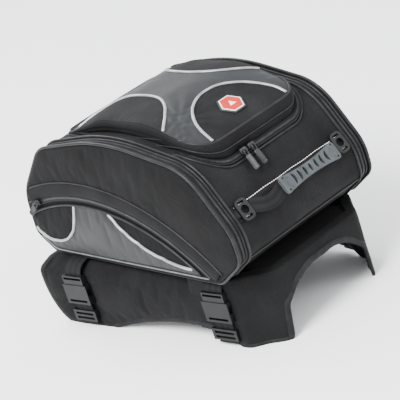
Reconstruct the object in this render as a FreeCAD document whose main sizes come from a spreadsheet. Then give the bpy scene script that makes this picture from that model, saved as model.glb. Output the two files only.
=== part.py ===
"""Motorcycle tail bag on its saddle base, as a FreeCAD 1.1 macro. Millimetres.

+X is the rider's right, +Y the front of the motorcycle, +Z up. The origin is in the middle of
the face that rests on the seat. The flaps hang below it, down to where the bag stands on them
when it is off the motorcycle.
"""
import FreeCAD, Part
import math
import os

import Sketcher

Vector = FreeCAD.Vector
Placement = FreeCAD.Placement
Rotation = FreeCAD.Rotation

SIDES = (("left", -1), ("right", 1))

# ---------------------------------------------------------------- driving sizes
SIZES = [
    # saddle base
    ("flap_drop", 110.0, "how far the flaps hang below the seat face"),
    ("mat_thick", 8.0, "foam mat between seat and bag"),
    ("mat_front_y", 235.0, "front edge of the mat"),
    ("mat_break_y", -185.0, "where the mat starts to narrow to the tail"),
    ("mat_rear_y", -240.0, "rear edge of the mat"),
    ("mat_front_half", 118.0, "half width of the mat at its front edge"),
    ("mat_break_half", 104.0, "half width of the mat at the break"),
    ("mat_ear_half", 138.0, "half width over the mat's ears, which carry the corner flaps"),
    ("mat_rear_half", 96.0, "half width of the mat at its rear edge"),
    ("mat_foot_half", 84.0, "half width of the seat face at its rear edge"),
    ("ear_lift", 2.0, "underside of the ears above the seat face"),
    ("flap_thick", 7.0, "padded side flap"),
    ("flap_front_half", 184.0, "half distance over the flaps at the front"),
    ("flap_rear_half", 140.0, "half distance over the flaps at the break"),
    ("flap_step", 2.0, "flap surface below the bag's underside at the mat's edge"),
    ("shoulder_front", 24.0, "run of the front shoulder's steep part"),
    ("shoulder_rear", 14.0, "run of the rear shoulder's steep part"),
    ("shoulder_top", 5.0, "drop of the shoulder's flat part"),
    ("shoulder_drop", 20.0, "drop of the shoulder's edge under the bag"),
    ("hem_arch_rise", 32.0, "rise of the flap's lower edge over its middle"),
    ("hem_arch_radius", 500.0, "radius of that arch"),
    ("hem_arch_y", -70.0, "middle of that arch"),
    ("corner_flap_thick", 6.0, "padded corner flap"),
    ("corner_flap_gap", 5.0, "gap between side flap and corner flap"),
    ("corner_flap_run", 54.0, "how far the corner flap runs backwards"),
    ("corner_flap_turn", 44.0, "how far the corner flap runs inwards"),
    # bag body: side outline
    ("foot_rear_y", -188.0, "outline corner: rear end of the flat bottom"),
    ("foot_front_y", 205.0, "outline corner: front end of the flat bottom"),
    ("nose_low_y", 247.0, "outline corner: front, low"),
    ("nose_low_z", 34.0, "its height above the bottom"),
    ("nose_high_y", 241.0, "outline corner: front, high"),
    ("nose_high_z", 110.0, "its height above the bottom"),
    ("brow_y", 165.0, "outline corner: front end of the top"),
    ("brow_z", 197.0, "its height above the bottom"),
    ("crown_y", 0.0, "outline corner: top"),
    ("crown_z", 227.0, "its height above the bottom"),
    ("back_top_y", -182.0, "outline corner: rear end of the top"),
    ("back_top_z", 192.0, "its height above the bottom"),
    ("tail_y", -246.0, "outline corners of the upright rear face"),
    ("tail_high_z", 92.0, "upper one, above the bottom"),
    ("tail_low_z", 44.0, "lower one, above the bottom"),
    ("foot_radius", 40.0, "rounding of both feet of the outline"),
    ("nose_radius", 24.0, "rounding of the low front corner"),
    ("nose_high_radius", 80.0, "rounding of the high front corner"),
    ("brow_radius", 60.0, "rounding of the brow"),
    ("crown_radius", 400.0, "rounding of the crown"),
    ("back_radius", 90.0, "rounding of the rear end of the top"),
    ("tail_high_radius", 70.0, "rounding of the upper tail corner"),
    ("tail_low_radius", 26.0, "rounding of the lower tail corner"),
    # bag body: walls and ends
    ("shell_half", 132.0, "half width of the shell"),
    ("shell_wall", 2.5, "foam-backed shell fabric"),
    ("bottom_seam_z", 40.0, "height of the seam between shell and bottom panel"),
    ("board_thick", 3.0, "polyethylene base board"),
    ("board_half", 92.0, "half width of the base board"),
    ("board_end_gap", 14.0, "base board short of the flat bottom at each end"),
    ("piping_w", 4.0, "width of the corded pipings"),
    ("piping_h", 3.0, "height of the corded pipings"),
    # expanding sides
    ("panel_in", 150.0, "inner face of a side panel, from the middle"),
    ("panel_thick", 8.0, "padded side panel"),
    ("panel_inset", 1.0, "side panel inside the shell's outline"),
    ("panel_round", 5.0, "rounding of the panel's outer edge"),
    ("gusset_gap", 0.7, "clearance between gusset and shell wall"),
    ("gusset_wall", 1.6, "gusset fabric"),
    ("gusset_in", 98.0, "inner end of the gusset, from the middle"),
    ("zip_w", 10.0, "width of a coil zip with its tapes"),
    ("zip_thick", 2.2, "thickness of a closed coil zip"),
    # side pocket
    ("pocket_arc_y", 88.0, "centre of the pocket zip's arc"),
    ("pocket_arc_z", -259.0, "its height from the bag's bottom"),
    ("pocket_arc_radius", 376.0, "radius of the pocket zip's arc"),
    ("pocket_thick", 6.0, "how far the pocket stands out"),
    ("pocket_margin", 9.0, "pocket inside the panel's outline"),
    ("storm_w", 22.0, "width of the storm flap over the pocket zip"),
    ("storm_thick", 4.0, "thickness of the storm flap"),
    ("pocket_rest", 18.0, "angle of the closed pocket slider ahead of the arc's top, degrees"),
    ("pull_dip", 42.0, "angle at which the pocket pull hangs, degrees"),
    # lid
    ("lid_half", 112.0, "half width of the lid"),
    ("lid_rear_y", -190.0, "rear edge of the lid"),
    ("lid_front_y", 135.0, "hinge line of the lid"),
    ("lid_rear_radius", 45.0, "rear corners of the lid in plan"),
    ("lid_front_radius", 12.0, "front corners of the lid in plan"),
    ("lid_low_z", 150.0, "a height inside the bag, where the lid's blank starts"),
    ("lid_front_z", 207.0, "top of the lid at its hinge line"),
    ("lid_rise_y", 40.0, "lid outline corner: front end of the raised top"),
    ("lid_rise_z", 240.0, "its height above the bottom"),
    ("lid_top_y", -70.0, "lid outline corner: rear end of the raised top"),
    ("lid_top_z", 243.0, "its height above the bottom"),
    ("lid_rear_z", 206.0, "top of the lid at its rear edge"),
    ("lid_rise_radius", 120.0, "rounding of the front end of the raised top"),
    ("lid_top_radius", 200.0, "rounding of the rear end of the raised top"),
    ("lid_thick", 5.0, "padded lid panel"),
    ("lid_wall", 4.0, "padded band round the lid"),
    ("lid_gap", 0.8, "clearance between lid and shell"),
    ("mouth_margin", 12.0, "mouth of the bag inside the lid's outline"),
    ("zip_gap", 0.6, "clearance between lid band and zip tape"),
    ("zip_front_y", 118.0, "front ends of the lid zip"),
    ("lid_piping_w", 5.0, "width of the reflective pipings on the lid"),
    ("lid_piping_h", 1.6, "height of those pipings"),
    ("wing_arc_x", 190.0, "centre of the side pipings' arc, from the middle"),
    ("wing_arc_y", -8.0, "centre of the side pipings' arc"),
    ("wing_arc_radius", 147.0, "radius of the side pipings' arc"),
    ("apron_arc_y", -192.0, "centre of the rear piping's arc"),
    ("apron_arc_radius", 86.0, "radius of the rear piping's arc"),
    ("badge_y", -148.0, "centre of the badge"),
    ("badge_radius", 24.0, "badge plate, centre to corner"),
    ("badge_thick", 3.0, "rubber badge plate"),
    ("badge_face_radius", 20.0, "badge face, centre to corner"),
    ("badge_face_thick", 1.2, "badge face"),
    # sliders and pulls
    ("slider_w", 8.6, "zip slider across the zip"),
    ("slider_long", 13.0, "zip slider along the zip"),
    ("slider_thick", 4.5, "zip slider"),
    ("slider_clear", 0.3, "slider off the closed zip"),
    ("pull_w", 9.0, "pull tab width"),
    ("pull_long", 36.0, "pull tab length"),
    ("pull_thick", 2.4, "pull tab thickness"),
    ("pull_clear", 0.4, "pull tab off the slider"),
    ("pull_over", 0.6, "pull tab past its pivot"),
    ("lid_slider_left_x", -46.0, "closed place of the left lid slider"),
    ("lid_slider_right_x", -28.0, "closed place of the right lid slider"),
    # rear strap, rings and handle
    ("strap_w", 25.0, "webbing across the rear"),
    ("strap_thick", 2.0, "thickness of all webbing"),
    ("strap_half", 127.5, "half length of the rear strap"),
    ("strap_z", 110.0, "middle of the rear strap above the bottom"),
    ("ring_x", 110.0, "middle of each ring, from the middle"),
    ("ring_w", 24.0, "ring across"),
    ("ring_tall", 36.0, "ring up the slope"),
    ("ring_thick", 5.0, "ring thickness"),
    ("ring_clear", 1.0, "ring off the strap"),
    ("ring_hole_radius", 7.0, "eye of the ring"),
    ("ring_slot_w", 4.0, "webbing slots of the ring"),
    ("ring_corner", 8.0, "rounded corners of the ring"),
    ("tab_long", 12.0, "webbing tab that holds a ring"),
    ("ring_swing_gap", 1.6, "room between a ring and its tab, for the ring to swing"),
    ("handle_half", 97.0, "half length of the handle's webbing"),
    ("handle_rise", 14.0, "handle webbing off the rear face at the grip"),
    ("handle_foot", 4.0, "handle webbing off the rear face at its ends"),
    ("grip_half", 62.0, "half length of the rubber grip"),
    ("grip_shift", 24.0, "grip to the right of the rings' middle"),
    ("grip_tall", 34.0, "grip, up the slope at its ends"),
    ("grip_waist", 5.0, "how far the grip's long sides curve in"),
    ("grip_thick", 8.0, "grip thickness"),
    ("grip_slot_long", 17.0, "length of the grip's slots"),
    ("grip_slot_w", 5.0, "width of the grip's slots"),
    ("grip_slot_pitch", 13.0, "spacing of the grip's slots"),
    ("grip_slot_deep", 4.0, "depth of the grip's slots"),
    # hold-down buckles
    ("web_w", 38.0, "hold-down webbing"),
    ("buckle_front_y", 150.0, "front buckles"),
    ("buckle_rear_y", -155.0, "rear buckles"),
    ("buckle_margin", 14.0, "socket wider than the webbing"),
    ("buckle_thick", 13.0, "socket thickness"),
    ("buckle_off", 0.5, "socket off the flap"),
    ("socket_long", 36.0, "socket length"),
    ("socket_deep", 24.0, "depth of the socket's mouth"),
    ("socket_margin", 2.0, "socket's mouth wider than the webbing"),
    ("socket_wall", 2.5, "socket wall, front and back"),
    ("clip_long", 16.0, "clip body length"),
    ("clip_margin", 6.0, "clip body wider than the webbing"),
    ("clip_clear", 0.4, "clip prongs off the socket's walls"),
    ("barb_clear", 0.2, "barbs off the sides of the mouth"),
    ("barb_w", 5.0, "prong with its barb"),
    ("stem_w", 3.0, "prong stem"),
    ("barb_long", 12.0, "barb length"),
    ("tongue_w", 6.0, "guide tongue"),
    ("web_slot", 4.0, "webbing slots in clip and socket"),
    ("lock_long", 20.0, "ladder lock length"),
    ("lock_thick", 8.0, "ladder lock thickness"),
    ("lock_rise", 12.0, "lower edge of the ladder lock above the flaps' lower edge"),
    ("web_tail", 6.0, "webbing below the ladder lock"),
    ("strap_root_x", 121.0, "where the hold-down straps are sewn to the bottom, from the middle"),
]


class Size:
    """A number from the sheet, with the expression that ties a property to it."""

    def __init__(self, number, text):
        self.number = number
        self.text = text

    def __add__(self, other):
        other = as_size(other)
        return Size(self.number + other.number, f"({self.text} + {other.text})")

    def __sub__(self, other):
        other = as_size(other)
        return Size(self.number - other.number, f"({self.text} - {other.text})")

    def __mul__(self, other):
        other = as_size(other)
        return Size(self.number * other.number, f"({self.text} * {other.text})")

    def __truediv__(self, other):
        other = as_size(other)
        return Size(self.number / other.number, f"({self.text} / {other.text})")

    def __neg__(self):
        return Size(-self.number, f"(0 - {self.text})")

    __radd__ = __add__
    __rmul__ = __mul__

    def __rsub__(self, other):
        return as_size(other) - self


def as_size(value):
    """Return value as a Size, so that plain numbers mix with cells."""
    if isinstance(value, Size):
        return value
    return Size(float(value), f"({float(value)})")


class Dimensions:
    """The sheet's aliases as attributes, each one a Size."""


doc = FreeCAD.newDocument("tail_bag")
sheet = doc.addObject("Spreadsheet::Sheet", "Sizes")
d = Dimensions()
for row, (alias, value, note) in enumerate(SIZES, start=1):
    sheet.set(f"A{row}", note)
    sheet.set(f"B{row}", str(value))
    sheet.setAlias(f"B{row}", alias)
doc.recompute()
for alias, value, note in SIZES:
    setattr(d, alias, Size(float(sheet.get(alias)), f"Sizes.{alias}"))

bag_z = d.mat_thick
ground_z = -d.flap_drop
pieces = []


# ---------------------------------------------------------------- helpers
def bind(obj, prop, value):
    """Tie one property of an object to the sheet."""
    obj.setExpression(prop, as_size(value).text)


def finish(obj, label):
    """Give a finished piece the name of its node."""
    obj.Label = label
    pieces.append(obj)
    return obj


PLANES = {
    "XY": Rotation(Vector(1, 0, 0), Vector(0, 1, 0), Vector(0, 0, 1), "ZXY"),
    "YZ": Rotation(Vector(0, 1, 0), Vector(0, 0, 1), Vector(1, 0, 0), "ZXY"),
}


def fill_outline(sketch, corners):
    """Draw a closed outline of straight runs and tangent corner arcs, tied to the sheet.

    A corner is (first coordinate, second coordinate, radius). A radius of 0 is a sharp corner.
    """
    count = len(corners)
    spots = [Vector(as_size(c[0]).number, as_size(c[1]).number, 0) for c in corners]
    radii = [as_size(c[2]).number for c in corners]
    entries, exits, arcs = [], [], []
    for i, spot in enumerate(spots):
        back = (spots[i - 1] - spot).normalize()
        ahead = (spots[(i + 1) % count] - spot).normalize()
        if radii[i] == 0:
            entries.append(spot)
            exits.append(spot)
            arcs.append(None)
            continue
        half_angle = back.getAngle(ahead) / 2
        entries.append(spot + back * (radii[i] / math.tan(half_angle)))
        exits.append(spot + ahead * (radii[i] / math.tan(half_angle)))
        centre = spot + (back + ahead).normalize() * (radii[i] / math.sin(half_angle))
        left_turn = back.cross(ahead).z < 0
        first, last = (entries[i], exits[i]) if left_turn else (exits[i], entries[i])
        start = math.atan2(first.y - centre.y, first.x - centre.x)
        end = math.atan2(last.y - centre.y, last.x - centre.x)
        if end < start:
            end += 2 * math.pi
        arcs.append((centre, start, end, left_turn))
    runs = []
    for i in range(count):
        runs.append(sketch.addGeometry(Part.LineSegment(exits[i], entries[(i + 1) % count])))
    for i in range(count):
        before, after = runs[i - 1], runs[i]
        if arcs[i] is None:
            sketch.addConstraint(Sketcher.Constraint("Coincident", before, 2, after, 1))
            tie_point(sketch, after, 1, corners[i])
            continue
        centre, start, end, left_turn = arcs[i]
        circle = Part.Circle(centre, Vector(0, 0, 1), radii[i])
        arc = sketch.addGeometry(Part.ArcOfCircle(circle, start, end))
        near_end, far_end = (1, 2) if left_turn else (2, 1)
        sketch.addConstraint(Sketcher.Constraint("Tangent", before, 2, arc, near_end))
        sketch.addConstraint(Sketcher.Constraint("Tangent", after, 1, arc, far_end))
        index = sketch.addConstraint(Sketcher.Constraint("Radius", arc, radii[i]))
        bind(sketch, f"Constraints[{index}]", corners[i][2])
        apex = sketch.addGeometry(Part.Point(spots[i]), True)
        sketch.addConstraint(Sketcher.Constraint("PointOnObject", apex, 1, before))
        sketch.addConstraint(Sketcher.Constraint("PointOnObject", apex, 1, after))
        tie_point(sketch, apex, 1, corners[i])


def tie_point(sketch, geometry, end, corner):
    """Hold one point of a sketch at two sizes."""
    for kind, value in (("DistanceX", corner[0]), ("DistanceY", corner[1])):
        value = as_size(value)
        index = sketch.addConstraint(Sketcher.Constraint(kind, -1, 1, geometry, end, value.number))
        bind(sketch, f"Constraints[{index}]", value)


def outline(name, plane, corners):
    """A free sketch of a rounded outline in the XY or YZ plane."""
    sketch = doc.addObject("Sketcher::SketchObject", name)
    sketch.Placement = Placement(Vector(0, 0, 0), PLANES[plane])
    fill_outline(sketch, corners)
    return sketch


def grown(name, source, amount):
    """The outline of a sketch, moved outwards by amount, or the sketch itself for 0."""
    if as_size(amount).number == 0:
        return source
    offset = doc.addObject("Part::Offset2D", name)
    offset.Source = source
    offset.Value = as_size(amount).number
    bind(offset, "Value", amount)
    return offset


def prism(name, base, axis, start, stop):
    """A solid from an outline, between two planes across the axis X, Y or Z."""
    start, stop = as_size(start), as_size(stop)
    solid = doc.addObject("Part::Extrusion", name)
    solid.Base = base
    solid.DirMode = "Custom"
    solid.Dir = Vector(*[float(axis == letter) for letter in "XYZ"])
    solid.Solid = True
    bind(solid, "LengthFwd", stop - start)
    bind(solid, f"Placement.Base.{axis.lower()}", start)
    return solid


def cut(name, base, tool):
    """Take tool away from base."""
    result = doc.addObject("Part::Cut", name)
    result.Base, result.Tool = base, tool
    return result


def common(name, base, tool):
    """Keep what two solids share."""
    result = doc.addObject("Part::Common", name)
    result.Base, result.Tool = base, tool
    return result


def fuse(name, base, tool):
    """Join two solids."""
    result = doc.addObject("Part::Fuse", name)
    result.Base, result.Tool = base, tool
    return result


def group(name, members):
    """Separate solids in one node."""
    result = doc.addObject("Part::Compound", name)
    result.Links = members
    return result


def block(name, low, high):
    """A box between two corners."""
    solid = doc.addObject("Part::Box", name)
    for letter, prop, start, stop in zip("xyz", ("Length", "Width", "Height"), low, high):
        bind(solid, prop, as_size(stop) - as_size(start))
        bind(solid, f"Placement.Base.{letter}", start)
    return solid


def rod_x(name, radius, y, z, start, stop):
    """A cylinder along X between two planes."""
    solid = doc.addObject("Part::Cylinder", name)
    solid.Placement.Rotation = Rotation(Vector(0, 1, 0), 90)
    bind(solid, "Radius", radius)
    bind(solid, "Height", as_size(stop) - as_size(start))
    bind(solid, "Placement.Base.x", start)
    bind(solid, "Placement.Base.y", y)
    bind(solid, "Placement.Base.z", z)
    return solid


def rod_z(name, radius, x, y, start, stop):
    """A cylinder along Z between two heights."""
    solid = doc.addObject("Part::Cylinder", name)
    bind(solid, "Radius", radius)
    bind(solid, "Height", as_size(stop) - as_size(start))
    bind(solid, "Placement.Base.x", x)
    bind(solid, "Placement.Base.y", y)
    bind(solid, "Placement.Base.z", start)
    return solid


def moved(name, source, place):
    """A piece modelled at the origin, put in its place on the bag."""
    holder = group(name, [source])
    holder.Placement = place
    return holder


def strip(path, thickness, width, place):
    """Flat webbing along a path of (across, up) points, width centred on the third axis."""
    points = [Vector(a.number, 0, b.number) for a, b in path]
    left, right = [], []
    for i, point in enumerate(points):
        before = points[max(i - 1, 0)]
        after = points[min(i + 1, len(points) - 1)]
        first = (point - before) if i else (after - point)
        second = (after - point) if i < len(points) - 1 else (point - before)
        first.normalize()
        second.normalize()
        mitre = Vector(-(first.z + second.z), 0, first.x + second.x).normalize()
        stretch = thickness.number / 2 / mitre.dot(Vector(-first.z, 0, first.x))
        left.append(point + mitre * stretch)
        right.append(point - mitre * stretch)
    ring = left + right[::-1] + left[:1]
    face = Part.Face(Part.makePolygon(ring))
    solid = face.extrude(Vector(0, width.number, 0))
    solid.translate(Vector(0, -width.number / 2, 0))
    solid.transformShape(place.toMatrix())
    return solid


def piece_from(name, shape):
    """A piece whose shape is worked out point by point."""
    feature = doc.addObject("Part::Feature", name)
    feature.Shape = shape
    return feature


# ---------------------------------------------------------------- side outline of the bag
side_outline = outline("side_outline", "YZ", [
    (d.foot_rear_y, bag_z, d.foot_radius),
    (d.foot_front_y, bag_z, d.foot_radius),
    (d.nose_low_y, bag_z + d.nose_low_z, d.nose_radius),
    (d.nose_high_y, bag_z + d.nose_high_z, d.nose_high_radius),
    (d.brow_y, bag_z + d.brow_z, d.brow_radius),
    (d.crown_y, bag_z + d.crown_z, d.crown_radius),
    (d.back_top_y, bag_z + d.back_top_z, d.back_radius),
    (d.tail_y, bag_z + d.tail_high_z, d.tail_high_radius),
    (d.tail_y, bag_z + d.tail_low_z, d.tail_low_radius),
])


def body_solid(name, amount, start, stop):
    """The bag's side outline, grown by amount, as a solid across X."""
    return prism(name, grown(name + "_outline", side_outline, amount), "X", start, stop)


def hoop(name, outer, inner, start, stop):
    """A band that follows the bag's side outline between two offsets."""
    return cut(name, body_solid(name + "_out", outer, start, stop),
               body_solid(name + "_in", inner, start - 1, stop + 1))


def trimmed_hoop(name, outer, inner, start, stop):
    """A hoop that ends at the bag's underside, which lies flat on the mat."""
    keep = block(name + "_keep", (start - 1, d.tail_y - 20, bag_z),
                 (stop + 1, d.nose_low_y + 20, bag_z + d.crown_z + 20))
    return common(name, hoop(name + "_whole", outer, inner, start, stop), keep)


def from_middle(sign, near, far):
    """Order two distances from the middle as a start and a stop on that side."""
    near, far = as_size(near), as_size(far)
    return (near, far) if sign > 0 else (-far, -near)


# ---------------------------------------------------------------- lid outlines
lid_plan = outline("lid_plan", "XY", [
    (-d.lid_half, d.lid_rear_y, d.lid_rear_radius),
    (d.lid_half, d.lid_rear_y, d.lid_rear_radius),
    (d.lid_half, d.lid_front_y, d.lid_front_radius),
    (-d.lid_half, d.lid_front_y, d.lid_front_radius),
])
lid_side = outline("lid_side", "YZ", [
    (d.lid_rear_y - 2, bag_z + d.lid_low_z, 0),
    (d.lid_front_y, bag_z + d.lid_low_z, 0),
    (d.lid_front_y, bag_z + d.lid_front_z, 0),
    (d.lid_rise_y, bag_z + d.lid_rise_z, d.lid_rise_radius),
    (d.lid_top_y, bag_z + d.lid_top_z, d.lid_top_radius),
    (d.lid_rear_y - 2, bag_z + d.lid_rear_z, 0),
])
lid_low = bag_z + d.lid_low_z
lid_high = bag_z + d.lid_top_z + 10


def lid_plan_solid(name, amount):
    """The lid's plan, grown by amount, as a tall block."""
    return prism(name, grown(name + "_outline", lid_plan, amount), "Z", lid_low, lid_high)


# ---------------------------------------------------------------- shell, bottom and board
whole_hoop = hoop("whole_hoop", as_size(0), -d.shell_wall, -d.shell_half, d.shell_half)
below_seam = block("below_seam",
                   (-d.shell_half - 1, d.tail_y - 10, bag_z - 10),
                   (d.shell_half + 1, d.nose_low_y + 10, bag_z + d.bottom_seam_z))
mouth = lid_plan_solid("mouth", -d.mouth_margin)
upper_hoop = cut("upper_hoop", whole_hoop, below_seam)
finish(cut("shell_cut", upper_hoop, mouth), "shell")
finish(common("bottom_cut", whole_hoop, below_seam), "bottom_panel")
finish(block("board",
             (-d.board_half, d.foot_rear_y + d.board_end_gap, bag_z + d.shell_wall),
             (d.board_half, d.foot_front_y - d.board_end_gap,
              bag_z + d.shell_wall + d.board_thick)), "base_board")

for side, sign in SIDES:
    start, stop = from_middle(sign, d.shell_half - d.piping_w, d.shell_half)
    finish(trimmed_hoop(f"edge_{side}", d.piping_h, as_size(0), start, stop),
           f"shell_edge_piping_{side}")

# ---------------------------------------------------------------- lid
lid_blank = common("lid_blank",
                   prism("lid_prism", lid_side, "X", -d.lid_half - 1, d.lid_half + 1),
                   lid_plan_solid("lid_block", as_size(0)))
lid_clear = cut("lid_clear", lid_blank,
                body_solid("lid_seat", d.lid_gap, -d.lid_half - 2, d.lid_half + 2))
lid_inside = prism("lid_inside", lid_side, "X", -d.lid_half - 2, d.lid_half + 2)
bind(lid_inside, "Placement.Base.z", -d.lid_thick)
finish(cut("lid_top_cut", lid_clear, lid_inside), "lid_top")
finish(cut("lid_wall_cut", common("lid_under", lid_clear, lid_inside),
           lid_plan_solid("lid_hollow", -d.lid_wall)), "lid_wall")

zip_layer = cut("zip_layer",
                body_solid("zip_layer_out", d.zip_thick, -d.shell_half + 6, d.shell_half - 6),
                body_solid("zip_layer_in", as_size(0), -d.shell_half, d.shell_half))
zip_ring = cut("zip_ring", lid_plan_solid("zip_ring_out", d.zip_gap + d.zip_w - 2),
               lid_plan_solid("zip_ring_in", d.zip_gap))
zip_reach = block("zip_reach", (-d.shell_half, d.tail_y, lid_low),
                  (d.shell_half, d.zip_front_y, lid_high))
finish(common("lid_zip_cut", common("lid_zip_ring", zip_layer, zip_ring), zip_reach), "lid_zip")

piping_layer = prism("piping_layer_out", lid_side, "X", -d.lid_half, d.lid_half)
bind(piping_layer, "Placement.Base.z", d.lid_piping_h)


def lid_piping(name, label, x, y, radius, keep):
    """A reflective piping on the lid's top, along an arc in plan."""
    ring = cut(name + "_ring", rod_z(name + "_out", radius, x, y, lid_low, lid_high + 10),
               rod_z(name + "_in", radius - d.lid_piping_w, x, y, lid_low - 1, lid_high + 11))
    upper = common(name + "_upper", ring, piping_layer)
    on_lid = common(name + "_on_lid", upper, lid_plan_solid(name + "_plan", -d.lid_wall))
    raised = cut(name + "_raised", on_lid, prism(name + "_lid", lid_side, "X",
                                                 -d.lid_half - 1, d.lid_half + 1))
    finish(common(name, raised, keep), label)


for side, sign in SIDES:
    keep = block(f"wing_keep_{side}",
                 (*from_middle(sign, 0, d.lid_half)[:1], d.lid_rear_y, lid_low),
                 (from_middle(sign, 0, d.lid_half)[1], d.lid_front_y - 20, lid_high + 20))
    lid_piping(f"wing_{side}", f"lid_piping_{side}", d.wing_arc_x * sign, d.wing_arc_y,
               d.wing_arc_radius, keep)
rear_keep = block("rear_keep", (-d.lid_half, d.lid_rear_y + d.lid_wall, lid_low),
                  (d.lid_half, d.lid_front_y, lid_high + 20))
lid_piping("apron", "lid_piping_rear", as_size(0), d.apron_arc_y, d.apron_arc_radius, rear_keep)

# The badge sits on the lid's sloping rear top, between the raised top and the rear edge.
lid_slope = math.atan2(d.lid_top_z.number - d.lid_rear_z.number,
                       d.lid_top_y.number - d.lid_rear_y.number + 2)


def hexagon(name, radius, thickness):
    """A hexagonal plate at the origin, one corner pair along X."""
    body = doc.addObject("PartDesign::Body", name)
    sketch = body.newObject("Sketcher::SketchObject", name + "_sketch")
    sketch.AttachmentSupport = (plane_of(body, "XY_Plane"), [""])
    sketch.MapMode = "FlatFace"
    height = radius * round(math.sqrt(3) / 2, 6)
    fill_outline(sketch, [(radius, 0, 1), (radius / 2, height, 1), (-radius / 2, height, 1),
                          (-radius, 0, 1), (-radius / 2, -height, 1), (radius / 2, -height, 1)])
    pad = body.newObject("PartDesign::Pad", name + "_pad")
    pad.Profile = sketch
    bind(pad, "Length", thickness)
    return body


def plane_of(body, role):
    """One of a body's own origin planes."""
    for feature in body.Origin.OriginFeatures:
        if feature.Role == role:
            return feature
    raise ValueError(f"no {role} in {body.Label}")


badge_run = (d.badge_y.number - d.lid_rear_y.number + 2) * math.tan(lid_slope)
badge_spot = Vector(0, d.badge_y.number, bag_z.number + d.lid_rear_z.number + badge_run)
badge_turn = Rotation(Vector(1, 0, 0), math.degrees(lid_slope))
badge_up = badge_turn.multVec(Vector(0, 0, 1))
finish(moved("badge_plate_place", hexagon("badge_plate_body", d.badge_radius, d.badge_thick),
             Placement(badge_spot, badge_turn)), "badge_plate")
finish(moved("badge_face_place", hexagon("badge_face_body", d.badge_face_radius,
                                         d.badge_face_thick),
             Placement(badge_spot + badge_up * d.badge_thick.number, badge_turn)), "badge_face")

# ---------------------------------------------------------------- expanding sides
panel_out = d.panel_in + d.panel_thick
arc_z = bag_z + d.pocket_arc_z
for side, sign in SIDES:
    start, stop = from_middle(sign, d.panel_in, panel_out)
    plate = body_solid(f"panel_plate_{side}", -d.panel_inset, start, stop)
    doc.recompute()
    rounded = doc.addObject("Part::Fillet", f"panel_round_{side}")
    rounded.Base = plate
    outer_x = sign * panel_out.number
    rounded.Edges = [
        (number, d.panel_round.number, d.panel_round.number)
        for number, edge in enumerate(plate.Shape.Edges, start=1)
        if all(abs(v.X - outer_x) < 1e-6 for v in edge.Vertexes)
    ]
    finish(rounded, f"side_panel_{side}")
    start, stop = from_middle(sign, d.panel_in + 2, d.panel_in + 2 + d.piping_w)
    finish(trimmed_hoop(f"panel_piping_{side}", d.piping_h, -d.panel_inset, start, stop),
           f"panel_piping_{side}")
    start, stop = from_middle(sign, d.gusset_in, d.panel_in)
    sleeve = -d.shell_wall - d.gusset_gap
    finish(hoop(f"gusset_{side}", sleeve, sleeve - d.gusset_wall, start, stop), f"gusset_{side}")
    middle = (d.shell_half + d.panel_in) / 2
    start, stop = from_middle(sign, middle - d.zip_w / 2, middle + d.zip_w / 2)
    finish(hoop(f"expansion_zip_{side}", sleeve + d.zip_thick, sleeve, start, stop),
           f"expansion_zip_{side}")

    def arc_band(name, outer, inner, thickness):
        """A band on the side panel, along the pocket's arc."""
        low, high = from_middle(sign, panel_out, panel_out + thickness)
        ring = cut(name + "_ring", rod_x(name + "_out", outer, d.pocket_arc_y, arc_z, low, high),
                   rod_x(name + "_in", inner, d.pocket_arc_y, arc_z, low - 1, high + 1))
        return common(name, ring, body_solid(name + "_edge", -d.pocket_margin, low, high))

    arc = d.pocket_arc_radius
    low, high = from_middle(sign, panel_out, panel_out + d.pocket_thick)
    finish(common(f"pocket_{side}",
                  rod_x(f"pocket_disc_{side}", arc - d.zip_w / 2, d.pocket_arc_y, arc_z, low, high),
                  body_solid(f"pocket_edge_{side}", -d.pocket_margin, low, high)),
           f"side_pocket_{side}")
    finish(arc_band(f"pocket_zip_{side}", arc + d.zip_w / 2, arc - d.zip_w / 2, d.zip_thick),
           f"pocket_zip_{side}")
    finish(arc_band(f"storm_{side}", arc + d.zip_w / 2 + d.storm_w, arc + d.zip_w / 2,
                    d.storm_thick), f"storm_flap_{side}")


# ---------------------------------------------------------------- zip sliders and pulls
def plate(name, width, length, thickness, corner, holes=()):
    """A rounded plate: width along X, length along Y, its underside on the XY plane.

    A hole is (x, y, radius).
    """
    body = doc.addObject("PartDesign::Body", name)
    sketch = body.newObject("Sketcher::SketchObject", name + "_sketch")
    sketch.AttachmentSupport = (plane_of(body, "XY_Plane"), [""])
    sketch.MapMode = "FlatFace"
    width, length = as_size(width), as_size(length)
    fill_outline(sketch, [(-width / 2, -length / 2, corner), (width / 2, -length / 2, corner),
                          (width / 2, length / 2, corner), (-width / 2, length / 2, corner)])
    for x, y, radius in holes:
        x, y, radius = as_size(x), as_size(y), as_size(radius)
        circle = Part.Circle(Vector(x.number, y.number, 0), Vector(0, 0, 1), radius.number)
        index = sketch.addGeometry(circle)
        tie_point(sketch, index, 3, (x, y))
        number = sketch.addConstraint(Sketcher.Constraint("Radius", index, radius.number))
        bind(sketch, f"Constraints[{number}]", radius)
    pad = body.newObject("PartDesign::Pad", name + "_pad")
    pad.Profile = sketch
    bind(pad, "Length", thickness)
    return body


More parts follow.
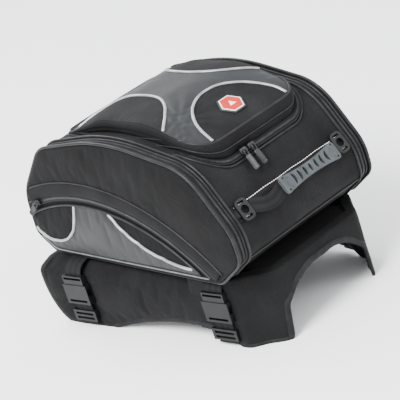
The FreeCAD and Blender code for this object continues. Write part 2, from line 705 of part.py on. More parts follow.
def slider_and_pull(name, spot, along_zip, along_pull, outward, slider_label, pull_label):
    """A slider lying along along_zip and its pull tab, on a face that looks outward."""
    zip_turn = Rotation(along_zip.cross(outward), along_zip, outward, "ZXY")
    turn = Rotation(along_pull.cross(outward), along_pull, outward, "ZXY")
    body = plate(name + "_slider", d.slider_w, d.slider_long, d.slider_thick, 2)
    base = spot + outward * d.slider_clear.number
    finish(moved(name + "_slider_place", body, Placement(base, zip_turn)), slider_label)
    tab = plate(name + "_pull", d.pull_w, d.pull_long, d.pull_thick, 3,
                [(0, -d.pull_long / 2 + 4, 1.6)])
    over = base + outward * (d.slider_thick.number + d.pull_clear.number)
    reach = along_pull * (d.pull_long.number / 2 - d.pull_over.number)
    finish(moved(name + "_pull_place", tab, Placement(over + reach, turn)), pull_label)


# The rear face leans forwards above its upper corner: up_slope and off_slope are its directions.
slope_run = Vector(0, d.back_top_y.number - d.tail_y.number,
                   d.back_top_z.number - d.tail_high_z.number)
up_slope = slope_run.normalize()
off_slope = Vector(0, -up_slope.z, up_slope.y)
tail_corner = Vector(0, d.tail_y.number, bag_z.number + d.tail_high_z.number)


def on_slope_at_y(x, y, off):
    """A point on the leaning rear face at a given y, raised off it."""
    climb = (y - tail_corner.y) / up_slope.y
    return Vector(x, 0, 0) + tail_corner + up_slope * climb + off_slope * off


zip_line_y = d.lid_rear_y.number - d.zip_gap.number - (d.zip_w.number - 2) / 2
for side, x in (("left", d.lid_slider_left_x), ("right", d.lid_slider_right_x)):
    slider_and_pull(f"lid_{side}", on_slope_at_y(x.number, zip_line_y, d.zip_thick.number),
                    Vector(1, 0, 0), -up_slope, off_slope,
                    f"lid_slider_{side}", f"lid_pull_{side}")

rest_angle = math.radians(d.pocket_rest.number)
dip_angle = math.radians(d.pull_dip.number)
for side, sign in SIDES:
    spot = Vector(sign * (panel_out.number + d.zip_thick.number),
                  d.pocket_arc_y.number + d.pocket_arc_radius.number * math.sin(rest_angle),
                  arc_z.number + d.pocket_arc_radius.number * math.cos(rest_angle))
    slider_and_pull(f"pocket_{side}", spot,
                    Vector(0, math.cos(rest_angle), -math.sin(rest_angle)),
                    Vector(0, math.cos(dip_angle), -math.sin(dip_angle)),
                    Vector(sign, 0, 0), f"pocket_slider_{side}", f"pocket_pull_{side}")

# ---------------------------------------------------------------- rear strap, rings and handle
strap_y = tail_corner.y + (d.strap_z.number - d.tail_high_z.number) / up_slope.z * up_slope.y
strap_middle = on_slope_at_y(0, strap_y, 0)
rear_turn = Rotation(Vector(1, 0, 0), up_slope, off_slope, "ZXY")


def on_strap(x, climb, off):
    """Placement of a piece on the leaning rear face, measured from the strap's middle."""
    return Placement(strap_middle + Vector(x, 0, 0) + up_slope * climb + off_slope * off,
                     rear_turn)


finish(moved("rear_strap_place",
             plate("rear_strap_body", d.strap_half * 2, d.strap_w, d.strap_thick, 1),
             on_strap(0, 0, 0)), "rear_strap")
ring_tabs = []
for side, sign in SIDES:
    ring = doc.addObject("PartDesign::Body", f"ring_body_{side}")
    sketch = ring.newObject("Sketcher::SketchObject", f"ring_sketch_{side}")
    sketch.AttachmentSupport = (plane_of(ring, "XY_Plane"), [""])
    sketch.MapMode = "FlatFace"
    half_w, half_t, corner = d.ring_w / 2, d.ring_tall / 2, d.ring_corner
    fill_outline(sketch, [(-half_w, -half_t, corner), (half_w, -half_t, corner),
                          (half_w, half_t, corner), (-half_w, half_t, corner)])
    pad = ring.newObject("PartDesign::Pad", f"ring_pad_{side}")
    pad.Profile = sketch
    bind(pad, "Length", d.ring_thick)
    holes = ring.newObject("Sketcher::SketchObject", f"ring_holes_{side}")
    holes.AttachmentSupport = (plane_of(ring, "XY_Plane"), [""])
    holes.MapMode = "FlatFace"
    eye = holes.addGeometry(Part.Circle(Vector(0, 0, 0), Vector(0, 0, 1),
                                        d.ring_hole_radius.number))
    tie_point(holes, eye, 3, (0, 0))
    number = holes.addConstraint(Sketcher.Constraint("Radius", eye, d.ring_hole_radius.number))
    bind(holes, f"Constraints[{number}]", d.ring_hole_radius)
    for end in (-1, 1):
        inner, outer = d.ring_hole_radius + 3, d.ring_hole_radius + 3 + d.ring_slot_w
        low, high = from_middle(end, inner, outer)
        fill_outline(holes, [(-half_w / 2, low, 1), (half_w / 2, low, 1),
                             (half_w / 2, high, 1), (-half_w / 2, high, 1)])
    pocket = ring.newObject("PartDesign::Pocket", f"ring_pocket_{side}")
    pocket.Profile = holes
    pocket.Type = "ThroughAll"
    pocket.Reversed = True
    finish(moved(f"ring_place_{side}", ring,
                 on_strap(sign * d.ring_x.number, 0,
                          d.strap_thick.number + d.ring_clear.number)), f"ring_{side}")
    tab_start = d.ring_x + d.ring_w / 2 + d.ring_swing_gap
    tab = plate(f"ring_tab_{side}", d.strap_half - tab_start, d.tab_long, d.ring_thick, 0.2)
    tab_middle = (d.strap_half.number + tab_start.number) / 2
    ring_tabs.append(moved(f"ring_tab_place_{side}", tab,
                           on_strap(sign * tab_middle, 0, d.strap_thick.number)))
finish(group("ring_tab_pair", ring_tabs), "ring_tabs")

# The handle's webbing bows off the rear face from ring to ring, behind the rubber grip.
bow = [(-d.handle_half, d.handle_foot), (d.grip_shift - d.grip_half, d.handle_rise),
       (d.grip_shift + d.grip_half, d.handle_rise), (d.handle_half, d.handle_foot)]
strap_frame = Placement(strap_middle, Rotation(Vector(1, 0, 0), -up_slope, off_slope, "ZXY"))
finish(piece_from("handle_webbing_shape", strip(bow, d.strap_thick, d.strap_w, strap_frame)),
       "handle_webbing")
grip = doc.addObject("PartDesign::Body", "grip_body")
sketch = grip.newObject("Sketcher::SketchObject", "grip_sketch")
sketch.AttachmentSupport = (plane_of(grip, "XY_Plane"), [""])
sketch.MapMode = "FlatFace"
tall, waist = d.grip_tall / 2, d.grip_waist
fill_outline(sketch, [(-d.grip_half, -tall, 5), (-d.grip_half / 3, waist - tall, 60),
                      (d.grip_half / 3, waist - tall, 60), (d.grip_half, -tall, 5),
                      (d.grip_half, tall, 5), (d.grip_half / 3, tall - waist, 60),
                      (-d.grip_half / 3, tall - waist, 60), (-d.grip_half, tall, 5)])
pad = grip.newObject("PartDesign::Pad", "grip_pad")
pad.Profile = sketch
bind(pad, "Length", d.grip_thick)
slots = grip.newObject("Sketcher::SketchObject", "grip_slots")
slots.AttachmentSupport = (plane_of(grip, "XY_Plane"), [""])
slots.MapMode = "FlatFace"
bind(slots, "AttachmentOffset.Base.z", d.grip_thick)
for place in range(-3, 4):
    low = d.grip_slot_pitch * place - d.grip_slot_w / 2
    fill_outline(slots, [(low, -d.grip_slot_long / 2, 2),
                         (low + d.grip_slot_w, -d.grip_slot_long / 2, 2),
                         (low + d.grip_slot_w, d.grip_slot_long / 2, 2),
                         (low, d.grip_slot_long / 2, 2)])
pocket = grip.newObject("PartDesign::Pocket", "grip_pocket")
pocket.Profile = slots
bind(pocket, "Length", d.grip_slot_deep)
finish(moved("grip_place", grip,
             on_strap(d.grip_shift.number, 0, d.handle_rise.number + d.strap_thick.number / 2)),
       "handle_grip")

# ---------------------------------------------------------------- saddle base
# The mat rests on the seat with its foot. The thinner ears behind it carry the corner flaps.
mat_foot_plan = outline("mat_foot_plan", "XY", [
    (-d.mat_foot_half, d.mat_rear_y, 12), (d.mat_foot_half, d.mat_rear_y, 12),
    (d.mat_break_half, d.mat_break_y, 0), (d.mat_front_half, d.mat_front_y, 0),
    (-d.mat_front_half, d.mat_front_y, 0), (-d.mat_break_half, d.mat_break_y, 0),
])
ears_plan = outline("ears_plan", "XY", [
    (-d.mat_rear_half, d.mat_rear_y, 12), (d.mat_rear_half, d.mat_rear_y, 12),
    (d.mat_ear_half, d.mat_break_y - 2, 3), (d.mat_break_half, d.mat_break_y, 0),
    (-d.mat_break_half, d.mat_break_y, 0), (-d.mat_ear_half, d.mat_break_y - 2, 3),
])
finish(fuse("mat", prism("mat_foot", mat_foot_plan, "Z", 0, bag_z),
            prism("mat_ears", ears_plan, "Z", d.ear_lift, bag_z)), "saddle_mat")


def flap_section(name, sign, y, inner, outer, run):
    """A cross-section of a side flap: flat part, shoulder and hanging part."""
    wire = doc.addObject("Sketcher::SketchObject", name)
    wire.Placement = Placement(Vector(0, y.number, 0),
                               Rotation(Vector(1, 0, 0), Vector(0, 0, 1), Vector(0, -1, 0), "ZXY"))
    bind(wire, "Placement.Base.y", y)
    top = bag_z - d.flap_step
    thick = d.flap_thick
    points = [(inner, top), (outer - run, top - d.shoulder_top), (outer, bag_z - d.shoulder_drop),
              (outer, ground_z), (outer - thick, ground_z),
              (outer - thick, bag_z - d.shoulder_drop - 3),
              (outer - run - 2, top - d.shoulder_top - thick), (inner, top - thick)]
    fill_outline(wire, [(across * sign, up, 0) for across, up in points])
    return wire


arch_z = ground_z + d.hem_arch_rise - d.hem_arch_radius
for side, sign in SIDES:
    front = flap_section(f"flap_front_{side}", sign, d.mat_front_y, d.mat_front_half,
                         d.flap_front_half, d.shoulder_front)
    rear = flap_section(f"flap_rear_{side}", sign, d.mat_break_y, d.mat_break_half,
                        d.flap_rear_half, d.shoulder_rear)
    loft = doc.addObject("Part::Loft", f"flap_loft_{side}")
    loft.Sections = [front, rear]
    loft.Solid = True
    loft.Ruled = True
    start, stop = from_middle(sign, d.flap_rear_half - 30, d.flap_front_half + 5)
    arch = rod_x(f"hem_arch_{side}", d.hem_arch_radius, d.hem_arch_y, arch_z, start, stop)
    finish(cut(f"flap_{side}", loft, arch), f"saddle_flap_{side}")

    turn = math.atan2(-d.corner_flap_run.number, -sign * d.corner_flap_turn.number)
    length = math.hypot(d.corner_flap_run.number, d.corner_flap_turn.number)
    corner = doc.addObject("Part::Box", f"corner_flap_{side}")
    corner.Length = length
    bind(corner, "Width", d.corner_flap_thick)
    bind(corner, "Height", d.flap_drop + d.ear_lift)
    root = Vector(sign * d.flap_rear_half.number,
                  d.mat_break_y.number - d.corner_flap_gap.number, ground_z.number)
    if sign > 0:
        root = root + Vector(math.cos(turn), math.sin(turn), 0) * length
        turn += math.pi
    corner.Placement = Placement(root, Rotation(Vector(0, 0, 1), math.degrees(turn)))
    finish(corner, f"corner_flap_{side}")

# ---------------------------------------------------------------- hold-down buckles
flap_slope = ((d.flap_front_half.number - d.flap_rear_half.number)
              / (d.mat_front_y.number - d.mat_break_y.number))
flap_turn = math.degrees(math.atan(flap_slope))
clip_top = bag_z - d.shoulder_drop
clip_low = clip_top - d.clip_long
socket_low = clip_low - d.socket_long
mouth_low = clip_low - d.socket_deep
lock_low = ground_z + d.lock_rise
off = d.buckle_off
wall = d.socket_wall
buckle_half = (d.web_w + d.buckle_margin) / 2
mouth_half = (d.web_w + d.socket_margin) / 2
slot_half = d.web_w / 2 + 0.7


def beside_flap(sign, y):
    """Frame on a flap's outer face: local X leaves the flap, local Y runs along it."""
    outer = d.flap_rear_half.number + flap_slope * (y.number - d.mat_break_y.number)
    turn = Rotation(Vector(0, 0, 1), -flap_turn if sign > 0 else 180 + flap_turn)
    return Placement(Vector(sign * outer, y.number, 0), turn), outer


def socket(name):
    """The hollow half of a side-release buckle, mouth upwards."""
    half = buckle_half
    shape = block(name + "_case", (off, -half, socket_low), (off + d.buckle_thick, half, clip_low))
    hollow = block(name + "_mouth", (off + wall, -mouth_half, mouth_low),
                   (off + d.buckle_thick - wall, mouth_half, clip_low + 1))
    window = block(name + "_window", (off + wall, -half - 1, mouth_low + 4),
                   (off + d.buckle_thick - wall, half + 1, mouth_low + 4 + d.barb_long))
    slot = block(name + "_slot", (off - 1, -slot_half, socket_low + 4),
                 (off + d.buckle_thick + 1, slot_half, socket_low + 4 + d.web_slot))
    return cut(name + "_a", cut(name + "_b", cut(name + "_c", shape, hollow), window), slot)


def clip(name):
    """The clip's body with its webbing slot and guide tongue."""
    half = (d.web_w + d.clip_margin) / 2
    shape = block(name + "_bar", (off + 1, -half, clip_low), (off + d.buckle_thick - 1, half, clip_top))
    slot = block(name + "_slot", (off, -slot_half, clip_top - 3 - d.web_slot),
                 (off + d.buckle_thick, slot_half, clip_top - 3))
    tongue = block(name + "_tongue", (off + wall + 1, -d.tongue_w / 2, mouth_low + 2),
                   (off + d.buckle_thick - wall - 1, d.tongue_w / 2, clip_low))
    return fuse(name + "_all", cut(name + "_slotted", shape, slot), tongue)


def prong(name, end):
    """One springy prong: a stem with a barb at its end, on one side of the tongue."""
    x_low, x_high = off + wall + d.clip_clear, off + d.buckle_thick - wall - d.clip_clear
    outer = mouth_half - d.barb_clear
    stem_low, stem_high = from_middle(end, outer - d.barb_w, outer - d.barb_w + d.stem_w)
    barb_low, barb_high = from_middle(end, outer - d.barb_w, outer)
    barb_top = mouth_low + 3 + d.barb_long
    stem = block(name + "_stem", (x_low, stem_low, barb_top), (x_high, stem_high, clip_low))
    barb = block(name + "_barb", (x_low, barb_low, mouth_low + 3), (x_high, barb_high, barb_top))
    return fuse(name + "_shape", stem, barb)


def ladder_lock(name):
    """A three-bar slide that sets the strap's length, with the webbing through it."""
    half = buckle_half - 1
    low, high = lock_low, lock_low + d.lock_long
    shape = block(name + "_frame", (off + 2, -half, low), (off + 2 + d.lock_thick, half, high))
    way = block(name + "_way", (off + 4.7, -slot_half, low - 1), (off + 7.3, slot_half, high + 1))
    bar = block(name + "_window", (off + 1, -slot_half, low + 4),
                (off + 3 + d.lock_thick, slot_half, low + 4 + d.web_slot))
    bar_two = block(name + "_window_two", (off + 1, -slot_half, high - 4 - d.web_slot),
                    (off + 3 + d.lock_thick, slot_half, high - 4))
    return cut(name + "_a", cut(name + "_b", cut(name + "_c", shape, way), bar), bar_two)


sockets, clips, locks, lower_webs, straps = [], [], [], [], []
for end_name, y in (("front", d.buckle_front_y), ("rear", d.buckle_rear_y)):
    for side, sign in SIDES:
        key = f"{end_name}_{side}"
        frame, outer = beside_flap(sign, y)
        sockets.append(moved(f"socket_{key}", socket(f"socket_{key}"), frame))
        clips.append(moved(f"clip_{key}", clip(f"clip_{key}"), frame))
        locks.append(moved(f"lock_{key}", ladder_lock(f"lock_{key}"), frame))
        web = block(f"web_{key}", (off + 5, -d.web_w / 2, lock_low - d.web_tail),
                    (off + 5 + d.strap_thick, d.web_w / 2, socket_low))
        lower_webs.append(moved(f"web_place_{key}", web, frame))
        half_thick = d.strap_thick / 2
        strap_line = off + d.buckle_thick / 2
        root = d.strap_root_x - outer
        path = [(root, bag_z - half_thick), (as_size(-14.0), bag_z - half_thick),
                (strap_line, clip_top + 8), (strap_line, clip_top)]
        straps.append(piece_from(f"hold_down_{key}", strip(path, d.strap_thick, d.web_w, frame)))
        for prong_name, end in (("fore", 1), ("aft", -1)):
            local_end = end * sign
            part = prong(f"prong_{key}_{prong_name}", local_end)
            finish(moved(f"prong_place_{key}_{prong_name}", part, frame),
                   f"prong_{key}_{prong_name}")
finish(group("socket_set", sockets), "buckle_sockets")
finish(group("clip_set", clips), "buckle_clips")
finish(group("lock_set", locks), "ladder_locks")
finish(group("lower_web_set", lower_webs), "lower_webbing")
finish(group("hold_down_set", straps), "hold_down_straps")

# ---------------------------------------------------------------- checks and files
doc.recompute()
for obj in doc.Objects:
    if "Invalid" in obj.State or "Error" in obj.State:
        raise RuntimeError(f"{obj.Label} did not build: {obj.State}")
os.makedirs("parts", exist_ok=True)
for piece in pieces:
    shape = piece.Shape
    if shape.isNull() or not shape.isValid() or not shape.Solids:
        raise RuntimeError(f"{piece.Label} is not a valid solid")
    shape.exportStep(f"parts/{piece.Label}.step")
    print(f"{piece.Label}: {len(shape.Solids)} solid(s), {shape.Volume / 1000:.1f} cm3")
print(len(pieces), "nodes")
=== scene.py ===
# %% [markdown]
# # A motorcycle tail bag on its saddle base
# The bag is a soft shell between two side panels that zip outwards. A raised lid, side pockets and a
# rubber grip sit on it, and four buckles hold it to a padded saddle. Everything is placed from the CAD
# frame, so each soft piece here takes the room that its plain CAD solid holds.

# %% Load the frame
import math

import bmesh
import bpy
from mathutils import Matrix, Vector, noise
from mathutils.bvhtree import BVHTree


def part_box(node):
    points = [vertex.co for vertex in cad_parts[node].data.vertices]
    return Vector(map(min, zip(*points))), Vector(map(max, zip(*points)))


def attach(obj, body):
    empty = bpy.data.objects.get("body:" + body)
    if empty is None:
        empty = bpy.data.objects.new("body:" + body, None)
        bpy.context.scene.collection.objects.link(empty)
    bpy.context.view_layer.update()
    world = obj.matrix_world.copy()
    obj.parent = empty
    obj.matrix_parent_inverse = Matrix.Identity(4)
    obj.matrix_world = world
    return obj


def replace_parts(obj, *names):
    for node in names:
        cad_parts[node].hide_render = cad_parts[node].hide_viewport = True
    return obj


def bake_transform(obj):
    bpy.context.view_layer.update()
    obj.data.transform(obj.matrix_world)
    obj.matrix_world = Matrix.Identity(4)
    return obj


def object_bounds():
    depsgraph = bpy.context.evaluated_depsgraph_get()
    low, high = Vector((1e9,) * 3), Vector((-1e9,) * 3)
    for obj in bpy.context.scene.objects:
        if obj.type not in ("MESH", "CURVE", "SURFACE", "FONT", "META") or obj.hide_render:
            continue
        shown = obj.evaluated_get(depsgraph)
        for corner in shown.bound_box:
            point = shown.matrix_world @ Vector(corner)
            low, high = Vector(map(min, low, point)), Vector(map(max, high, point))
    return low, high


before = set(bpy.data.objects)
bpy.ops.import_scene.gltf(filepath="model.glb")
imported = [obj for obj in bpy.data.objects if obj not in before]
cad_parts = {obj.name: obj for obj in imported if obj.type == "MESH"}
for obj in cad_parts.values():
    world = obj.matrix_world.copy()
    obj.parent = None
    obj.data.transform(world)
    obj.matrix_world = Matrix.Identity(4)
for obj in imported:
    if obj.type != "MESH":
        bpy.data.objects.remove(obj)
cad_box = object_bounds()
MM = 0.001
X_AXIS, Z_AXIS = Vector((1, 0, 0)), Vector((0, 0, 1))
SIDES = (("left", -1), ("right", 1))
print("CAD box", [[round(c, 4) for c in corner] for corner in cad_box])

# %% [markdown]
# ## The camera
# The camera looks at the left rear quarter from a little above, through a long lens, and leans over a
# few degrees. A direction, a distance and a lean say that more plainly than a matrix of numbers.

# %% Camera
AIM = Vector((-10.7, -14.9, 56.7)) * MM
AZIMUTH, ELEVATION, LEAN = math.radians(-37.676), math.radians(22.953), math.radians(17.801)
DISTANCE = 3069.3 * MM

back = Vector((math.sin(AZIMUTH) * math.cos(ELEVATION), -math.cos(AZIMUTH) * math.cos(ELEVATION),
               math.sin(ELEVATION)))
level_right = Z_AXIS.cross(back).normalized()
lean = Matrix.Rotation(-LEAN, 3, back)
right = lean @ level_right
up = back.cross(right)
camera = bpy.data.objects.new("camera", bpy.data.cameras.new("camera"))
bpy.context.scene.collection.objects.link(camera)
camera.data.lens, camera.data.sensor_width = 171.26, 36
camera.data.clip_end = 20
turn = Matrix((right, up, back)).transposed().to_4x4()
camera.matrix_world = Matrix.Translation(AIM + back * DISTANCE) @ turn
bpy.context.scene.camera = camera
print("camera at", [round(c, 3) for c in camera.matrix_world.translation])

# %% [markdown]
# ## Colours and a node helper
# Materials are small node trees. One function adds a node with its settings and links, and another
# turns an sRGB hex value into the linear colour that a shader works in.


# %% Colour and node helpers
def linear(hex_value):
    """sRGB hex colour as linear RGBA."""
    channels = [int(hex_value[i:i + 2], 16) / 255 for i in (1, 3, 5)]
    toned = [c / 12.92 if c <= 0.04045 else ((c + 0.055) / 1.055) ** 2.4 for c in channels]
    return (*toned, 1.0)


def add_node(tree, kind, sockets=None, **settings):
    """A new node with its settings. A socket takes a value, or another node's output."""
    node = tree.nodes.new(kind)
    for name, value in settings.items():
        setattr(node, name, value)
    for name, value in (sockets or {}).items():
        if isinstance(value, bpy.types.NodeSocket):
            tree.links.new(value, node.inputs[name])
        else:
            node.inputs[name].default_value = value
    return node


def new_material(name, roughness, **shader_values):
    """A material with one Principled shader, whose even values are set on the shader itself."""
    material = bpy.data.materials.new(name)
    material.use_nodes = True
    tree = material.node_tree
    shader = tree.nodes["Principled BSDF"]
    shader.inputs["Roughness"].default_value = roughness
    for socket, value in shader_values.items():
        shader.inputs[socket.replace("_", " ")].default_value = value
    return material, tree, shader


def blotch(tree, dark, light, scale, detail=3.0, at=None, low=0.35, high=0.65):
    """Two tones of one colour, mixed by soft noise in Object coordinates."""
    place = at or add_node(tree, "ShaderNodeTexCoord").outputs["Object"]
    cloud = add_node(tree, "ShaderNodeTexNoise", {"Vector": place, "Scale": scale, "Detail": detail})
    ramp = add_node(tree, "ShaderNodeValToRGB", {"Fac": cloud.outputs["Fac"]})
    ramp.color_ramp.elements[0].position = low
    ramp.color_ramp.elements[1].position = high
    ramp.color_ramp.elements[0].color = linear(dark)
    ramp.color_ramp.elements[1].color = linear(light)
    return ramp.outputs["Color"]


def creased(tree, shader, folds, crease, grain, strength, depth):
    """Bump of a cloth: its fine grain on top of long soft folds."""
    soft = add_node(tree, "ShaderNodeBump",
                    {"Height": folds.outputs["Fac"], "Strength": crease, "Distance": 4 * MM})
    fine = add_node(tree, "ShaderNodeBump", {"Height": grain, "Strength": strength,
                                             "Distance": depth, "Normal": soft.outputs["Normal"]})
    tree.links.new(fine.outputs["Normal"], shader.inputs["Normal"])


# %% [markdown]
# ## Woven polyester
# The black fabrics are coated polyester: a plain weave of coarse yarns, dull, with a faint mottle painted
# into their colour as the glints of yarns that catch the light. Waves along all three axes cross on any
# face, whichever way it points, so one pattern weaves every side of the bag. Real yarns are half a
# millimetre apart, too fine to see from here, so they are drawn three times as coarse.

# %% Woven fabric materials
YARN = 1.5 * MM
FOLD = 45 * MM


def woven(name, dark, light, crease=0.5):
    """Coated woven polyester in Object coordinates, with long soft creases in its bump."""
    material, tree, shader = new_material(name, 0.85, Sheen_Weight=0.01, Sheen_Roughness=0.5,
                                          Specular_IOR_Level=0.14)
    place = add_node(tree, "ShaderNodeTexCoord").outputs["Object"]
    yarns = None
    for axis in "XYZ":
        wave = add_node(tree, "ShaderNodeTexWave",
                        {"Vector": place, "Scale": 0.314 / YARN, "Distortion": 0.6},
                        bands_direction=axis).outputs["Fac"]
        yarns = wave if yarns is None else add_node(
            tree, "ShaderNodeMath", {0: yarns, 1: wave}, operation="ADD").outputs[0]
    # The mottle's lighter tone is painted glints of yarns, a painted sheen in the base colour.
    painted_glint_mottle = blotch(tree, dark, light, 650.0, 2.0, place, 0.3, 0.75)
    fade = blotch(tree, "#b9b9b9", "#ffffff", 14.0, 3.0, place)
    colour = add_node(tree, "ShaderNodeMixRGB", {"Fac": 1.0, "Color1": painted_glint_mottle, "Color2": fade},
                      blend_type="MULTIPLY")
    tree.links.new(colour.outputs["Color"], shader.inputs["Base Color"])
    folds = add_node(tree, "ShaderNodeTexNoise",
                     {"Vector": place, "Scale": 1 / FOLD, "Detail": 4.0, "Distortion": 0.8})
    creased(tree, shader, folds, crease, yarns, 0.25, 0.3 * MM)
    return material


shell_cloth = woven("polyester_shell", "#111112", "#212122")
panel_cloth = woven("polyester_side_panel", "#070708", "#131314", crease=0.6)
lid_cloth = woven("polyester_lid_insert", "#121213", "#232324", crease=0.25)
base_cloth = woven("polyester_saddle", "#0a0a0b", "#171718", crease=0.6)
gusset_cloth = woven("polyester_gusset", "#0a0a0b", "#151516", crease=0.35)
bottom_cloth = woven("polyester_bottom", "#0b0b0c", "#181819", crease=0.4)
storm_cloth = woven("polyester_storm_band", "#0e0e0f", "#1c1c1d", crease=0.2)

# %% [markdown]
# ## Grey vinyl
# The grey parts of the lid and pockets are vinyl-coated cloth: smoother than the polyester, with a
# soft gloss that lights up its creases, and a leather-like grain of about a millimetre.


# %% Vinyl materials
def vinyl(name, dark, light):
    """Vinyl-coated cloth: a smooth skin with a fine grain and soft creases."""
    material, tree, shader = new_material(name, 0.46, Specular_IOR_Level=0.2, Coat_Weight=0.03,
                                          Coat_Roughness=0.35)
    place = add_node(tree, "ShaderNodeTexCoord").outputs["Object"]
    tree.links.new(blotch(tree, dark, light, 9.0, 3.0, place), shader.inputs["Base Color"])
    grain = add_node(tree, "ShaderNodeTexVoronoi", {"Vector": place, "Scale": 1 / (1.3 * MM)})
    folds = add_node(tree, "ShaderNodeTexNoise",
                     {"Vector": place, "Scale": 1 / (60 * MM), "Detail": 3.0, "Distortion": 0.6})
    creased(tree, shader, folds, 0.35, grain.outputs["Distance"], 0.12, 0.2 * MM)
    return material


grey_vinyl = vinyl("vinyl_grey", "#1b1c1d", "#262829")

# %% [markdown]
# ## Piping, webbing and stitches
# Corded piping is a thin vinyl or reflective film round a cord, smooth and faintly shiny. Webbing is
# coarse woven ribbon, with ribs across it that follow the strap, so it reads the strap's own UV map.


# %% Trim materials
def trim(name, dark, light, roughness, grain=0.9 * MM, depth=0.15, **shader_values):
    """A smooth trim with a fine even grain."""
    material, tree, shader = new_material(name, roughness, **shader_values)
    place = add_node(tree, "ShaderNodeTexCoord").outputs["Object"]
    tree.links.new(blotch(tree, dark, light, 60.0, 2.0, place), shader.inputs["Base Color"])
    speck = add_node(tree, "ShaderNodeTexNoise", {"Vector": place, "Scale": 1 / grain, "Detail": 2.0})
    bump = add_node(tree, "ShaderNodeBump",
                    {"Height": speck.outputs["Fac"], "Strength": depth, "Distance": 0.2 * MM})
    tree.links.new(bump.outputs["Normal"], shader.inputs["Normal"])
    return material


def ribbed(name, dark, light, rib):
    """Woven ribbon: ribs across it, counted along its UV map, which is in metres."""
    material, tree, shader = new_material(name, 0.75, Sheen_Weight=0.02, Specular_IOR_Level=0.15)
    place = add_node(tree, "ShaderNodeUVMap", uv_map="along").outputs["UV"]
    ribs = add_node(tree, "ShaderNodeTexWave",
                    {"Vector": place, "Scale": 0.314 / rib, "Distortion": 1.0, "Detail": 1.0},
                    bands_direction="X")
    cross = add_node(tree, "ShaderNodeTexWave", {"Vector": place, "Scale": 0.157 / rib},
                     bands_direction="Y")
    both = add_node(tree, "ShaderNodeMath", {0: ribs.outputs["Fac"], 1: cross.outputs["Fac"]},
                    operation="MULTIPLY")
    ramp = add_node(tree, "ShaderNodeValToRGB", {"Fac": both.outputs[0]})
    ramp.color_ramp.elements[0].color = linear(dark)
    ramp.color_ramp.elements[1].color = linear(light)
    tree.links.new(ramp.outputs["Color"], shader.inputs["Base Color"])
    bump = add_node(tree, "ShaderNodeBump",
                    {"Height": both.outputs[0], "Strength": 0.6, "Distance": 0.4 * MM})
    tree.links.new(bump.outputs["Normal"], shader.inputs["Normal"])
    return material


black_piping = trim("vinyl_piping_black", "#131314", "#1e1e1f", 0.45, Specular_IOR_Level=0.2)
silver_piping = trim("reflective_film", "#838485", "#a1a2a3", 0.35, Metallic=0.35)
dull_piping = trim("vinyl_piping_grey", "#4e5051", "#626465", 0.45, Specular_IOR_Level=0.25)
binding_tape = trim("binding_tape", "#0f0f10", "#1b1b1c", 0.7, grain=1.4 * MM, depth=0.35,
                    Specular_IOR_Level=0.15)
bright_thread = trim("reflective_thread", "#e4e4e2", "#f7f7f4", 0.5)
black_webbing = ribbed("webbing_black", "#0a0a0b", "#1a1a1b", 1.6 * MM)
zip_tape = ribbed("zip_tape", "#0d0d0e", "#1b1b1c", 1.2 * MM)

# %% [markdown]
# ## Hard trim
# Buckles are acetal, moulded with a light texture. Zip coils are nylon. The sliders are cast zinc with
# a black coat that wears at its edges, and their pulls and the grip are soft rubber.


# %% Hard trim materials
acetal = trim("acetal_black", "#08090a", "#101112", 0.4, grain=0.7 * MM, depth=0.1,
              Specular_IOR_Level=0.22)
nylon_coil = trim("nylon_coil", "#1c1c1d", "#2e2e2f", 0.4, Specular_IOR_Level=0.3)
grip_rubber = trim("rubber_grey", "#34383a", "#404446", 0.55, grain=0.8 * MM, depth=0.25,
                   Specular_IOR_Level=0.25)
pull_rubber = trim("rubber_black", "#191a1b", "#262728", 0.5, Specular_IOR_Level=0.3)
pull_grey = trim("rubber_pull_grey", "#2a2d2e", "#393c3e", 0.45)
coated_zinc = trim("zinc_black_coat", "#1a1a1b", "#2c2c2d", 0.3, Metallic=0.6)
badge_rubber = trim("rubber_badge", "#0f1011", "#1a1b1c", 0.5)
badge_red = trim("pvc_red", "#b01405", "#c01b0a", 0.45)
badge_white = trim("pvc_white", "#e8e6e2", "#f5f3ef", 0.45)
board_plastic = trim("polyethylene_board", "#2e2f30", "#3b3c3d", 0.45, grain=2 * MM, depth=0.3)
print(len(bpy.data.materials), "materials")

# %% [markdown]
# ## Surfaces from a grid
# Most soft pieces here are a sheet that follows a path: a piping, a band, a strap. A grid from bmesh is
# bent into place by moving each of its points, which keeps its faces even and its UV map true.


# %% Mesh helpers
def new_piece(name, bm, materials, body=None, smooth=True, closed=True):
    """Turn a bmesh into a named piece that rides on a body."""
    mesh = bpy.data.meshes.new(name)
    if closed:
        bmesh.ops.recalc_face_normals(bm, faces=bm.faces)
    if smooth:
        for face in bm.faces:
            face.smooth = True
    bm.to_mesh(mesh)
    bm.free()
    piece = bpy.data.objects.new(name, mesh)
    bpy.context.scene.collection.objects.link(piece)
    for material in materials if isinstance(materials, (list, tuple)) else [materials]:
        mesh.materials.append(material)
    if body:
        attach(piece, body)
    return piece


def bend_grid(bm, columns, rows, place, closed_u=False, closed_v=False, uv_size=None, material=0):
    """Add a grid to bm and move each point to place(u, v), u and v from 0 to 1."""
    layer = bm.loops.layers.uv.get("along") or bm.loops.layers.uv.new("along")
    made = bmesh.ops.create_grid(bm, x_segments=columns, y_segments=rows, size=0.5)
    verts = made["verts"]
    faces = {face for vert in verts for face in vert.link_faces}
    width, height = uv_size or (1, 1)
    for face in faces:
        face.material_index = material
        for loop in face.loops:
            u, v = loop.vert.co.x + 0.5, loop.vert.co.y + 0.5
            loop[layer].uv = (u * width, v * height)
    rim = []
    for vert in verts:
        u, v = vert.co.x + 0.5, vert.co.y + 0.5
        if (closed_u and (u < 0.001 or u > 0.999)) or (closed_v and (v < 0.001 or v > 0.999)):
            rim.append(vert)
        vert.co = place(u, v)
    if rim:
        bmesh.ops.remove_doubles(bm, verts=rim, dist=0.01 * MM)
    return verts


